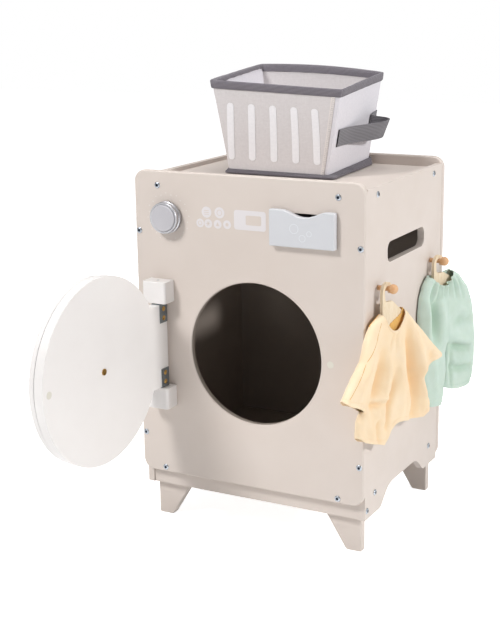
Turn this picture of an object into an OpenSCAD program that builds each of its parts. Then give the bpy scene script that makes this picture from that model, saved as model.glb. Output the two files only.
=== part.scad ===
// Toy washing machine: a board cabinet on four legs with a round door that
// stands open, a turning dial, a soap drawer, a cloth basket on top and two
// hangers with doll's clothes on wooden pegs.
// Millimetres, +Z up, +X to the right of someone in front of it, -Y to the front.
// The origin lies on the floor under the middle of the cabinet.

/* [Cabinet] */
// Width of the front and back panels
cab_w = 320; // [300:1:350]
// Depth over the front and back panels
cab_d = 270; // [250:1:300]
// Thickness of the cabinet boards
board_t = 9; // [8:0.5:11]
// Height of the front panel
front_h = 404; // [395:1:425]
// Height of the front panel's lower edge above the floor
front_z = 69; // [62:1:78]
// Radius of the corners of the front and back panels
panel_r = 15; // [8:1:20]
// Step from the edge of the front panel in to the side panel's face
side_inset = 1; // [0.5:0.25:2]
// How far the side panels end below the top of the front panel
side_drop = 9; // [6:0.5:14]
// How far the top board lies below the top edge of the side panels
top_drop = 5; // [3:0.5:8]
// How far the bottom board lies above the front panel's lower edge
bottom_rise = 2; // [1:0.5:4]
// Width of the side screws' row, measured in from the front and back
side_screw_in = 40; // [32:1:50]
// Distance of the top and bottom screws from the panel's side edge
front_screw_in = 34.5; // [28:0.5:42]
// Distance of the upper edge screws below the top of the panel
edge_screw_down = 78.5; // [60:0.5:90]
// Distance of the lower edge screws above the foot of the panel
edge_screw_up = 52; // [40:0.5:70]

/* [Side panels and legs] */
// Height of the side panels' feet above the floor
foot_z = 48; // [42:1:54]
// Length of each foot of a side panel
foot_l = 49; // [40:1:58]
// Length of the curve that rises from a foot to the arch
arch_run = 40; // [30:1:48]
// Skew of that curve, where less is steeper at the foot
arch_skew = 0.7; // [0.6:0.05:1]
// Length of the hand slot in each side panel
slot_l = 125; // [100:1:140]
// Height of the hand slot
slot_h = 26; // [22:1:30]
// Radius of the hand slot's corners
slot_r = 10; // [6:0.5:10.5]
// Height of the hand slot's middle above the floor
slot_z = 377.5; // [360:0.5:384]
// Width of a leg where it stands on the floor
leg_foot_w = 22.5; // [18:0.5:30]
// Width of a leg under the bottom board
leg_top_w = 65; // [50:1:75]
// Thickness of a leg board
leg_t = 12; // [10:0.5:15]
// Chamfer on the inner corner of a leg's foot
leg_chamfer = 2.5; // [1:0.5:4]
// Clearance between a leg and the side panel's inner face
leg_gap = 0.5; // [0.3:0.1:1]
// How far the front rail lies back between the side panels
rail_in = 1.5; // [0.5:0.5:4]

/* [Screws] */
// Radius of a screw head
head_r = 4; // [3:0.1:4.4]
// Height of a screw head
head_h = 1.5; // [1:0.1:2]
// Radius of a screw's shank
shank_r = 2; // [1.5:0.1:2.4]
// Length of a screw's shank
shank_l = 28; // [22:1:34]
// Key width across the flats of the socket
socket_w = 3; // [2:0.1:3.4]
// Radial clearance round a shank
shank_gap = 0.1; // [0.05:0.05:0.2]

/* [Door] */
// Radius of the opening in the front panel
hole_r = 91.7; // [84:0.1:94]
// Distance of the opening's middle to the right of the panel's middle
hole_x = 11; // [8:0.5:13]
// Height of the opening's middle above the floor
hole_z = 248; // [240:1:256]
// Radius of the door
door_r = 116.7; // [113:0.1:118]
// Thickness of the door's inner board
door_t = 12; // [10:0.5:14]
// Thickness of the clear pane behind the ring
pane_t = 1.2; // [0.8:0.1:2]
// Thickness of the outer ring
ring_t = 8; // [4:0.5:9]
// Width of the outer ring
ring_w = 24; // [18:1:30]
// Gap between the closed door and the front panel
door_gap = 3; // [2.4:0.1:3.4]
// Half the height of the straight tab on the hinge side
tab_half = 54.5; // [48:0.5:58]
// How far the tab reaches beyond the hinge axis
tab_over = 5.7; // [4:0.1:6]
// Distance of the hinge axis from the front panel's face
hinge_out = 11.4; // [11.2:0.1:12.4]
// Distance of the hinge axis from the left edge of the front panel
hinge_in = 38.2; // [36:0.1:40]
// Height of the hinge's middle above the opening's middle
hinge_rise = 1.5; // [0:0.5:3]
// Angle at which the door stands open
open_angle = 92; // [80:1:110]
// Radius of the door's middle bolt
bolt_r = 2.5; // [2:0.1:3]
// Radius of the two magnets
magnet_r = 4.5; // [3.5:0.1:5]
// Depth of the magnets in their boards
magnet_t = 4; // [3:0.5:5]
// Distance of the magnets from the opening's middle
magnet_x = 104.5; // [101:0.5:107]

/* [Hinges] */
// Width of a hinge block along the panel
block_w = 34; // [30:1:38]
// How far a hinge block stands out from the panel
block_d = 23; // [20:0.5:26]
// Height of a hinge block
block_h = 28.5; // [24:0.5:32]
// Radius of a hinge block's outer upright edges
block_r = 4; // [2:0.5:6]
// Radius of the hinge pins
pin_r = 2; // [1.5:0.1:2.5]
// Radial running clearance of the bracket on its pin
pin_gap = 0.05; // [0.03:0.01:0.1]
// Width of a hinge bracket
bracket_w = 16; // [12:0.5:17]
// Height of a bracket's leaf on the door
leaf_h = 24; // [20:0.5:28]
// Thickness of the bracket's sheet
leaf_t = 1; // [0.8:0.1:1.2]
// Gap between a hinge block and the bracket's arm
arm_gap = 0.5; // [0.3:0.1:1]
// Radius of the brass screws in the brackets
brass_r = 3.2; // [2.2:0.1:3.6]

/* [Dial] */
// Distance of the dial's axis left of the panel's middle
dial_x = 110.5; // [106:0.5:116]
// Distance of the dial's axis below the top of the panel
dial_down = 58; // [52:1:64]
// Radius of the dial's foot
dial_r = 20.5; // [18:0.5:22]
// Radius of the dial's front cap
cap_r = 17; // [14:0.5:17]
// How far the dial stands out from the panel
dial_d = 14; // [12:0.5:18]
// Radius of the dial's axle
axle_r = 4; // [3:0.1:5]
// Radial running clearance of the dial on its axle
axle_gap = 0.06; // [0.03:0.01:0.1]
// Thickness of the washer behind the dial
washer_t = 0.8; // [0.6:0.1:1.2]

/* [Soap drawer] */
// Width of the drawer's front
drawer_w = 87; // [78:1:92]
// Height of the drawer's front
drawer_h = 45; // [41:0.5:48]
// Thickness of the drawer's front
drawer_t = 9; // [7:0.5:11]
// Distance of the drawer's middle right of the panel's middle
drawer_x = 81; // [78:1:85]
// Distance of the drawer's top below the top of the panel
drawer_down = 36.5; // [34:0.5:42]
// Width of the finger notch in the drawer's top edge
notch_w = 46; // [36:1:52]
// Depth of the finger notch
notch_h = 8.5; // [7:0.5:11]
// Length of the tray behind the front panel
tray_l = 92; // [80:1:110]
// Thickness of the tray's walls
tray_t = 4; // [3:0.5:5]
// How much narrower the tray is than the drawer's front, on each side
tray_in = 6; // [5:0.5:8]
// Clearance of the tray in its guide and slot
tray_gap = 0.5; // [0.3:0.1:0.8]
// Height of the free gap over the tray in the panel's slot
slot_rise = 6; // [3:0.5:8]

/* [Pegs and hangers] */
// Height of the pegs above the floor
peg_z = 340; // [325:1:345]
// Distance of the front peg behind the cabinet's front
peg_front_y = 43; // [40:1:50]
// Distance of the rear peg behind the cabinet's front
peg_rear_y = 222; // [214:1:226]
// Radius of a peg's shaft
peg_r = 3; // [2.5:0.1:3.4]
// Radius of a peg's ball
ball_r = 6; // [5:0.1:6.4]
// Distance of the ball's middle from the side panel
ball_out = 20; // [19:0.5:24]
// Thickness of the hangers
hanger_t = 4; // [3:0.5:4.5]
// Inner radius of a hanger's hook
hook_r = 7.2; // [7:0.1:8]
// Width of the hook's arm
hook_w = 4.6; // [4:0.1:5.5]
// Distance of the hangers' middle from the side panel, at the peg
hanger_out = 11; // [10.5:0.5:11.5]
// Gap between the hook and the peg it rests on
hook_gap = 0.25; // [0.2:0.05:0.4]
// Turn of the shirt's hanger away from the side panel
shirt_turn = 7; // [4:1:9]
// Turn of the trousers' hanger away from the side panel
trouser_turn = 12; // [9:1:14]
// Width of the shirt over its sleeves
shirt_w = 249; // [235:1:255]
// Height of the shirt's hem below the peg
shirt_h = 183; // [170:1:195]
// Width of the trousers at the hips
trouser_w = 160; // [145:1:165]
// Height of the trousers' hems below the peg
trouser_h = 184; // [170:1:195]
// Thickness of the hanging clothes
cloth_t = 9; // [8:0.5:10]
// Least distance of the clothes from the side panel
cloth_gap = 2.2; // [1.6:0.1:3]
// Depth of the folds at the hems
fold_h = 4.5; // [2:0.5:6]

/* [Basket] */
// Width of the basket's foot
basket_foot_w = 144; // [134:1:150]
// Depth of the basket's foot
basket_foot_d = 141; // [130:1:146]
// Width of the basket's rim
basket_rim_w = 182; // [172:1:190]
// Depth of the basket's rim
basket_rim_d = 164; // [158:1:174]
// Height of the basket
basket_h = 122; // [105:1:135]
// Thickness of the basket's walls
basket_t = 2.5; // [2:0.5:4]
// Turn of the basket on the cabinet
basket_turn = 3; // [0:1:6]
// Distance of the basket's middle left of the cabinet's middle
basket_x = 9; // [0:1:12]
// Distance of the basket's middle behind the cabinet's middle
basket_y = 36; // [32:1:38]
// Height of the dark binding round the rim
rim_h = 10; // [8:0.5:13]
// Height of the dark binding round the foot
base_h = 6; // [4:0.5:8]
// How far the binding round the rim stands out
trim_out = 1.5; // [1:0.5:2.5]
// How far the binding round the foot stands out
base_out = 5; // [3:0.5:7]
// Height of the handles' webbing
strap_h = 24; // [20:1:28]
// Thickness of the handles' webbing
strap_t = 2.2; // [1.8:0.1:3]
// Length of a handle along the basket's side
strap_l = 134; // [110:1:138]
// Height of a handle's middle over the basket's foot
strap_z = 53; // [45:1:65]
// How far a handle bulges out
strap_out = 21; // [17:1:26]
// Gap under the basket and between soft pieces
soft_gap = 0.3; // [0.2:0.1:0.5]

/* [Hidden] */
$fn = 96;

body_colour = "#d8ccc4";
white_colour = "#f2eeeb";
steel_colour = "#b9bdc2";
brass_colour = "#c9a25c";
dial_colour = "#c8c6ca";
drawer_colour = "#d6d9de";
beech_colour = "#daa06e";
ply_colour = "#f0dcb0";
shirt_colour = "#fadeb2";
trouser_colour = "#cde2d4";
basket_colour = "#cdc8c5";
trim_colour = "#646166";

front_y = -cab_d / 2;
back_y = cab_d / 2;
inner_front_y = front_y + board_t;
inner_back_y = back_y - board_t;
top_edge_z = front_z + front_h;
side_x = cab_w / 2 - side_inset;
inner_x = side_x - board_t;
side_top_z = top_edge_z - side_drop;
top_z = side_top_z - top_drop;
bottom_z = front_z + bottom_rise;
screw_end = 0.5;
edge_x = side_x - board_t / 2;
corner_x = cab_w / 2 - front_screw_in;
upper_edge_z = top_edge_z - edge_screw_down;
lower_edge_z = front_z + edge_screw_up;
top_mid_z = top_z - board_t / 2;
bottom_mid_z = bottom_z + board_t / 2;
side_screw_y = cab_d / 2 - side_screw_in;
rail_y = inner_front_y + rail_in + board_t / 2;
rail_mid_z = (foot_z + bottom_z) / 2;
hinge_x = hinge_in - cab_w / 2;
hinge_y = front_y - hinge_out;
hinge_z = hole_z + hinge_rise;
door_back_y = front_y - door_gap;
pane_y = door_back_y - door_t;
ring_y = pane_y - pane_t;
tab_x = hinge_x - tab_over;
arm_z = tab_half + leaf_t;
block_z = arm_z + arm_gap;
dial_z = top_edge_z - dial_down;
dial_y = front_y - washer_t - 0.2;
drawer_top_z = top_edge_z - drawer_down;
drawer_mid_z = drawer_top_z - drawer_h / 2;
tray_w = drawer_w - 2 * tray_in;
tray_top_z = drawer_top_z - notch_h - 2;
tray_bottom_z = drawer_top_z - drawer_h + tray_in;
cloth_min_x = side_x + cloth_gap;
hanger_x = side_x + hanger_out;
basket_z = top_z + soft_gap;

// Places where something repeats
front_places = [
    for (sx = [-1, 1]) each [
        [sx * corner_x, top_mid_z], [sx * edge_x, upper_edge_z],
        [sx * edge_x, lower_edge_z], [sx * corner_x, bottom_mid_z]
    ]
];
side_places = [
    [-side_screw_y, top_mid_z], [side_screw_y, top_mid_z],
    [-side_screw_y, bottom_mid_z], [side_screw_y, bottom_mid_z],
    [rail_y, rail_mid_z]
];

// Flat outlines
module rounded(w, h, r) {
    square([w - 2 * r, h], center = true);
    square([w, h - 2 * r], center = true);
    for (x = [-1, 1], y = [-1, 1]) translate([x * (w / 2 - r), y * (h / 2 - r)]) circle(r);
}

// Stands an outline drawn in X and Z up, with its face at y and its depth behind it
module upright(y, t) {
    translate([0, y + t, 0]) rotate([90, 0, 0]) linear_extrude(t) children();
}

// Stands an outline drawn in Y and Z up, with its left face at x
module sideways(x, t) {
    translate([x, 0, 0]) rotate([90, 0, 90]) linear_extrude(t) children();
}

// Rod along Y from its front end
module rod_y(x, y, z, r, l) {
    translate([x, y + l, z]) rotate([90, 0, 0]) cylinder(r = r, h = l);
}

// Rod along X from its left end
module rod_x(x, y, z, r, l) {
    translate([x, y, z]) rotate([0, 90, 0]) cylinder(r = r, h = l);
}

// Screw that points to -Z, its head standing on z = 0
module screw(l = shank_l) {
    difference() {
        rotate_extrude($fn = 48) {
            intersection() {
                translate([0, head_h - 2.5 * head_r]) circle(2.5 * head_r);
                square([head_r, head_h]);
            }
            translate([0, -l]) square([shank_r, l + 0.2]);
        }
        translate([0, 0, head_h * 0.35]) cylinder(d = socket_w / cos(30), h = head_h, $fn = 6);
    }
}

// Cabinet
module panel_outline(z0) {
    h = top_edge_z - z0;
    translate([0, z0 + h / 2]) rounded(cab_w, h, panel_r);
}

module front_holes() {
    for (p = front_places) rod_y(p[0], front_y - 1, p[1], shank_r + shank_gap, board_t + 2);
}

module drawer_slot() {
    translate([drawer_x - tray_w / 2 - tray_gap, front_y - 1, tray_bottom_z - tray_gap])
        cube([tray_w + 2 * tray_gap, board_t + 2, tray_top_z - tray_bottom_z + tray_gap + slot_rise]);
}

module front_panel() {
    color(body_colour) difference() {
        upright(front_y, board_t) panel_outline(front_z);
        rod_y(hole_x, front_y - 1, hole_z, hole_r, board_t + 2);
        front_holes();
        drawer_slot();
        rod_y(-dial_x, front_y - 1, dial_z, axle_r + shank_gap, board_t + 2);
        rod_y(hole_x + magnet_x, front_y - 1, hole_z, magnet_r + shank_gap, magnet_t + 1);
    }
}

module back_panel() {
    color(body_colour) difference() {
        upright(inner_back_y, board_t) panel_outline(foot_z);
        for (p = front_places)
            rod_y(p[0], inner_back_y - 1, p[1], shank_r + shank_gap, board_t + 2);
    }
}

// Height of the side panel's lower edge, rising from the foot at t = 0 to the arch at t = 1
function arch_rise(t) = (bottom_z - foot_z) * (1 - cos(180 * pow(t, arch_skew))) / 2;
arch_foot_y = inner_back_y - foot_l;
arch_top_y = arch_foot_y - arch_run;
arch_steps = 14;

module side_outline() {
    rear = [for (i = [0:arch_steps]) let (t = i / arch_steps)
        [arch_foot_y - t * arch_run, foot_z + arch_rise(t)]];
    front = [for (i = [arch_steps:-1:0]) [-rear[i][0], rear[i][1]]];
    polygon(concat(
        [[inner_back_y, side_top_z], [inner_back_y, foot_z]], rear, front,
        [[inner_front_y, foot_z], [inner_front_y, side_top_z]]
    ));
}

module side_panel(s) {
    x = s > 0 ? inner_x : -side_x;
    color(body_colour) difference() {
        sideways(x, board_t) difference() {
            side_outline();
            translate([0, slot_z]) rounded(slot_l, slot_h, slot_r);
        }
        for (p = side_places) rod_x(x - 1, p[0], p[1], shank_r + shank_gap, board_t + 2);
        for (y = [inner_front_y - 1, inner_back_y - shank_l], z = [upper_edge_z, lower_edge_z])
            rod_y(s * edge_x, y, z, shank_r + shank_gap, shank_l + 1);
        if (s > 0) for (y = [peg_front_y, peg_rear_y])
            rod_x(x - 1, front_y + y, peg_z, peg_r + shank_gap, board_t + 2);
    }
}

// Board between the side panels with the screw holes in its four edges
module shelf(z, mid) {
    color(body_colour) difference() {
        translate([-inner_x, inner_front_y, z])
            cube([2 * inner_x, inner_back_y - inner_front_y, board_t]);
        for (sx = [-1, 1]) {
            for (y = [inner_front_y - 1, inner_back_y - shank_l])
                rod_y(sx * corner_x, y, mid, shank_r + shank_gap, shank_l + 1);
            for (y = [-side_screw_y, side_screw_y])
                rod_x(sx > 0 ? inner_x - shank_l : -inner_x - 1, y, mid, shank_r + shank_gap, shank_l + 1);
        }
    }
}

module top_panel() { shelf(top_z - board_t, top_mid_z); }
module bottom_panel() { shelf(bottom_z, bottom_mid_z); }

module front_rail() {
    color(body_colour) difference() {
        translate([-inner_x, rail_y - board_t / 2, foot_z]) cube([2 * inner_x, board_t, bottom_z - foot_z]);
        for (sx = [-1, 1])
            rod_x(sx > 0 ? inner_x - shank_l : -inner_x - 1, rail_y, rail_mid_z,
                shank_r + shank_gap, shank_l + 1);
    }
}

// Tapered leg board; sx is its side, y its front face
module leg(sx, y) {
    outer = inner_x - leg_gap;
    foot = outer - leg_foot_w;
    color(body_colour) upright(y, leg_t) polygon([for (p = [
        [outer, 0], [foot + leg_chamfer, 0], [foot, leg_chamfer],
        [outer - leg_top_w, bottom_z], [outer, bottom_z]
    ]) [sx * p[0], p[1]]]);
}

front_leg_y = rail_y + board_t / 2;
rear_leg_y = inner_back_y - leg_t;
module leg_front_left() { leg(-1, front_leg_y); }
module leg_front_right() { leg(1, front_leg_y); }
module leg_rear_left() { leg(-1, rear_leg_y); }
module leg_rear_right() { leg(1, rear_leg_y); }

// Screws
module front_screws() {
    color(steel_colour) for (p = front_places) translate([p[0], front_y, p[1]]) rotate([90, 0, 0]) screw();
}

module back_screws() {
    color(steel_colour) for (p = front_places) translate([p[0], back_y, p[1]]) rotate([-90, 0, 0]) screw();
}

module side_screws(s) {
    color(steel_colour) for (p = side_places)
        translate([s * side_x, p[0], p[1]]) rotate([0, s * 90, 0]) screw();
}

module side_screws_left() { side_screws(-1); }
module side_screws_right() { side_screws(1); }
module side_panel_left() { side_panel(-1); }
module side_panel_right() { side_panel(1); }

// Hinge: a block above and one below the door's tab, each with a fixed pin
pin_in = 6;
module hinge_block(s) {
    z = s > 0 ? block_z : -block_z - block_h;
    color(white_colour) difference() {
        translate([0, 0, hinge_z + z]) linear_extrude(block_h) {
            translate([hinge_x - block_w / 2, front_y - block_d + block_r])
                square([block_w, block_d - block_r]);
            translate([hinge_x - block_w / 2 + block_r, front_y - block_d])
                square([block_w - 2 * block_r, block_d]);
            for (x = [-1, 1]) translate([hinge_x + x * (block_w / 2 - block_r), front_y - block_d + block_r])
                circle(block_r);
        }
        translate([hinge_x, hinge_y, hinge_z + z - 1]) cylinder(r = pin_r + shank_gap, h = block_h + 2);
    }
}

module hinge_block_upper() { hinge_block(1); }
module hinge_block_lower() { hinge_block(-1); }

module hinge_pins() {
    l = block_h + arm_gap + leaf_t + pin_in;
    color(steel_colour) for (s = [-1, 1])
        translate([hinge_x, hinge_y, hinge_z + (s > 0 ? tab_half - pin_in : -tab_half + pin_in - l)])
            cylinder(r = pin_r, h = l);
}

module panel_magnet() {
    color(steel_colour) rod_y(hole_x + magnet_x, front_y, hole_z, magnet_r, magnet_t);
}

// Door, drawn closed and then swung open about the hinge axis
module swung() {
    translate([hinge_x, hinge_y, 0]) rotate([0, 0, -open_angle])
        translate([-hinge_x, -hinge_y, 0]) children();
}

module door_outline(r) {
    translate([hole_x, hole_z]) circle(r, $fn = 180);
    translate([tab_x, hinge_z - tab_half]) square([hole_x - tab_x, 2 * tab_half]);
}

module door_board() {
    color(white_colour) swung() difference() {
        upright(pane_y, door_t) door_outline(door_r);
        rod_y(hole_x, pane_y - 1, hole_z, bolt_r + shank_gap, door_t + 2);
        rod_y(hole_x + magnet_x, door_back_y - magnet_t, hole_z, magnet_r + shank_gap, magnet_t + 1);
        for (s = [-1, 1]) {
            translate([hinge_x, hinge_y, hinge_z + (s > 0 ? tab_half - pin_in - 1 : -tab_half - 1)])
                cylinder(r = pin_r + 0.6, h = pin_in + 2);
            for (z = leaf_screws)
                rod_y(leaf_mid_x, door_back_y - brass_l, hinge_z + s * z,
                    brass_r / 2 + shank_gap, brass_l + 1);
        }
    }
}

module door_pane() {
    color("white", 0.5) swung() difference() {
        rod_y(hole_x, ring_y, hole_z, door_r - 1, pane_t);
        rod_y(hole_x, ring_y - 1, hole_z, bolt_r + shank_gap, pane_t + 2);
    }
}

module door_ring() {
    color(white_colour) swung() difference() {
        rod_y(hole_x, ring_y - ring_t, hole_z, door_r - 1, ring_t);
        rod_y(hole_x, ring_y - ring_t - 1, hole_z, door_r - 1 - ring_w, ring_t + 2);
    }
}

module door_bolt() {
    color(brass_colour) swung() {
        rod_y(hole_x, ring_y - 1.6, hole_z, 2 * bolt_r, 1.6);
        rod_y(hole_x, ring_y - 1, hole_z, bolt_r, door_t + pane_t + 1.5);
        rod_y(hole_x, door_back_y, hole_z, 1.6 * bolt_r, 1.2);
    }
}

module door_magnet() {
    color(steel_colour) swung() rod_y(hole_x + magnet_x, door_back_y - magnet_t, hole_z, magnet_r, magnet_t);
}

// Angle bracket: a leaf on the door's inner face and an arm over the tab's edge
brass_l = 5;
leaf_screws = [tab_half - 6, tab_half - leaf_h + 6];
leaf_x = tab_x + 0.5;
leaf_mid_x = leaf_x + bracket_w / 2;
arm_d = hinge_out - door_gap + pin_r + 1.6;
module hinge_bracket(s) {
    color(steel_colour) swung() difference() {
        union() {
            translate([leaf_x, door_back_y, hinge_z + (s > 0 ? tab_half - leaf_h : -tab_half - leaf_t)])
                cube([bracket_w, leaf_t, leaf_h + leaf_t]);
            translate([leaf_x, door_back_y - arm_d, hinge_z + (s > 0 ? tab_half : -arm_z)])
                cube([bracket_w, arm_d + leaf_t, leaf_t]);
        }
        translate([hinge_x, hinge_y, hinge_z + (s > 0 ? tab_half - 1 : -arm_z - 1)])
            cylinder(r = pin_r + pin_gap, h = leaf_t + 2);
        for (z = leaf_screws)
            rod_y(leaf_mid_x, door_back_y - 1, hinge_z + s * z, brass_r / 2 + shank_gap, leaf_t + 2);
    }
}

module hinge_bracket_upper() { hinge_bracket(1); }
module hinge_bracket_lower() { hinge_bracket(-1); }

module hinge_screws() {
    color(brass_colour) swung() for (s = [-1, 1], z = leaf_screws)
        translate([leaf_mid_x, door_back_y + leaf_t, hinge_z + s * z]) rotate([-90, 0, 0])
            rotate_extrude($fn = 32) {
                intersection() {
                    translate([0, 1 - 2 * brass_r]) circle(2 * brass_r);
                    square([brass_r, 1]);
                }
                translate([0, -brass_l]) square([brass_r / 2, brass_l + 0.2]);
            }
}

// Dial
module dial_axle() {
    color(steel_colour) {
        rod_y(-dial_x, inner_front_y, dial_z, 2.2 * axle_r, 2);
        rod_y(-dial_x, dial_y - dial_d * 0.6, dial_z, axle_r, inner_front_y - dial_y + dial_d * 0.6 + 1);
    }
}

module dial_washer() {
    color("black") difference() {
        rod_y(-dial_x, front_y - washer_t, dial_z, 3 * axle_r, washer_t);
        rod_y(-dial_x, front_y - washer_t - 1, dial_z, axle_r + shank_gap, washer_t + 2);
    }
}

// Turned dial: foot flange, groove, rim and a recess for the cap
module dial_knob() {
    groove = 1.2;
    color(dial_colour) translate([-dial_x, dial_y, dial_z]) rotate([90, 0, 0]) difference() {
        rotate_extrude() polygon([
            [axle_r + axle_gap, 0], [dial_r - 1, 0], [dial_r, 1], [dial_r, dial_d * 0.34],
            [dial_r - groove, dial_d * 0.4], [dial_r - groove, dial_d * 0.46],
            [dial_r - groove / 2, dial_d * 0.5], [dial_r - groove / 2, dial_d - 3],
            [dial_r - groove, dial_d - 2], [cap_r + 0.6, dial_d - 2], [cap_r + 0.6, dial_d - 4],
            [0, dial_d - 4], [0, dial_d * 0.6 + 0.4], [axle_r + axle_gap, dial_d * 0.6 + 0.4]
        ]);
    }
}

module dial_cap() {
    color(dial_colour) translate([-dial_x, dial_y, dial_z]) rotate([90, 0, 0]) rotate_extrude()
        polygon([
            [0, dial_d - 4], [cap_r, dial_d - 4], [cap_r, dial_d - 1], [cap_r - 1, dial_d], [0, dial_d]
        ]);
}

// Soap drawer
notch_steps = 20;
module drawer_outline() {
    x0 = drawer_x - drawer_w / 2;
    x1 = drawer_x + drawer_w / 2;
    z0 = drawer_top_z - drawer_h;
    r = 2.5;
    polygon(concat(
        [[x0 + r, z0], [x1 - r, z0], [x1, z0 + r], [x1, drawer_top_z]],
        [for (i = [notch_steps:-1:0]) let (t = 2 * i / notch_steps - 1)
            [drawer_x + t * notch_w / 2, drawer_top_z - notch_h * (1 + cos(180 * t)) / 2]],
        [[x0, drawer_top_z], [x0, z0 + r]]
    ));
}

module drawer_front() {
    color(drawer_colour) upright(front_y - soft_gap - drawer_t, drawer_t) drawer_outline();
}

module drawer_tray() {
    y = front_y - soft_gap;
    color(drawer_colour) difference() {
        translate([drawer_x - tray_w / 2, y, tray_bottom_z])
            cube([tray_w, tray_l, tray_top_z - tray_bottom_z]);
        translate([drawer_x - tray_w / 2 + tray_t, y + tray_t, tray_bottom_z + tray_t])
            cube([tray_w - 2 * tray_t, tray_l - 2 * tray_t, tray_top_z - tray_bottom_z]);
    }
}

// Channel behind the front panel that the tray runs in
module drawer_guide() {
    w = tray_w + 2 * tray_gap;
    z = tray_bottom_z - tray_gap;
    color(body_colour) difference() {
        translate([drawer_x - w / 2 - tray_t, inner_front_y, z - tray_t])
            cube([w + 2 * tray_t, tray_l, tray_top_z - z]);
        translate([drawer_x - w / 2, inner_front_y - 1, z]) cube([w, tray_l + 2, drawer_h]);
    }
}

// Pegs: a turned shaft with a ball, let into the side panel
module peg(y) {
    color(beech_colour) translate([side_x, front_y + y, peg_z]) rotate([0, 90, 0]) rotate_extrude($fn = 48) {
        translate([0, -board_t + 1]) square([peg_r, board_t - 1 + ball_out]);
        translate([0, ball_out]) intersection() {
            circle(ball_r);
            translate([0, -ball_r]) square([ball_r, 2 * ball_r]);
        }
    }
}

module peg_front() { peg(peg_front_y); }
module peg_rear() { peg(peg_rear_y); }

// Hanger outline in its own plane, the peg's axis at [0, 0]: a hook, a neck and two sloping arms.
// arms holds the top edge's front shoulder, front tip, rear tip and rear shoulder;
// grow widens the outline for the pocket inside the clothes.
hook_z = peg_r + hook_gap - hook_r;
hook_out = hook_r + hook_w;
arm_h = 9;
module hanger_body(arms, grow = 0) {
    polygon([
        [-hook_out - grow, hook_z], [-hook_out - grow, arms[0][1] + grow],
        arms[1] + [-grow, grow], arms[1] + [-grow, -arm_h - grow], arms[1] + [12, -arm_h - grow],
        (arms[1] + arms[2]) / 2 + [0, 2 - grow],
        arms[2] + [-12, -arm_h - grow], arms[2] + [grow, -arm_h - grow], arms[2] + [grow, grow],
        arms[3] + [0, grow], [12, -17.5 + grow], [-2, -16.5], [-hook_r + 1.5, hook_z - 9], [-hook_r, hook_z]
    ]);
}

module hanger_outline(arms) {
    difference() {
        translate([0, hook_z]) circle(hook_out);
        translate([0, hook_z]) circle(hook_r);
        translate([-hook_r, hook_z - 2 * hook_out]) square([2 * hook_out, 2 * hook_out - 3]);
        translate([-2 * hook_out, hook_z - 2 * hook_out]) square([2 * hook_out, 2 * hook_out]);
    }
    hanger_body(arms);
}

// Puts a flat shape on a peg, standing t thick in a plane turned away from the side panel
module on_peg(y, turn, t) {
    translate([hanger_x, front_y + y, peg_z]) rotate([0, 0, -turn]) translate([-t / 2, 0, 0])
        rotate([90, 0, 90]) linear_extrude(t) children();
}

// Outlines are drawn at these widths and heights and stretched to the named ones
drawn_shirt = [249, 183];
drawn_trousers = [160, 184];
shirt_k = [shirt_w / drawn_shirt[0], shirt_h / drawn_shirt[1]];
trouser_k = [trouser_w / drawn_trousers[0], trouser_h / drawn_trousers[1]];
function stretched(edge, k, s = 1) = [for (p = edge) [s * p[0] * k[0], p[1] * k[1]]];
shirt_arms = stretched([[-12, -37], [-30, -60], [62, -52], [42, -38.5]], shirt_k);
trouser_arms = stretched([[-12, -22], [-22, -38], [46, -38], [26, -24]], trouser_k);

module hanger_front() {
    color(ply_colour) on_peg(peg_front_y, shirt_turn, hanger_t) hanger_outline(shirt_arms);
}

module hanger_rear() {
    color(ply_colour) on_peg(peg_rear_y, trouser_turn, hanger_t) hanger_outline(trouser_arms);
}

// Clothes. A garment's left and right edges are lists of [along, height] from the hem up,
// along from the peg towards the rear and height from the peg. Rows of points join them.
function lerp(a, b, t) = a + (b - a) * t;
function along_edge(edge, v) = let (k = v * (len(edge) - 1), i = min(floor(k), len(edge) - 2))
    lerp(edge[i], edge[i + 1], k - i);

// Middle plane of a garment: it follows its hanger and lies flatter beside the panel in front
function cloth_mid(s, turn, flat) = hanger_x + sin(turn) * (s > -flat ? s : -flat + (s + flat) * 0.15);

// Folds that fan out from the neck, deeper towards the hem
function fold(s, z, centre, count, deep) = let (dz = max(1, -z), a = atan2(s - centre, dz))
    deep * pow(min(1, dz / 180), 1.8) * (cos(count * a + 40) + 0.45 * cos(1.9 * count * a));

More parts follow.
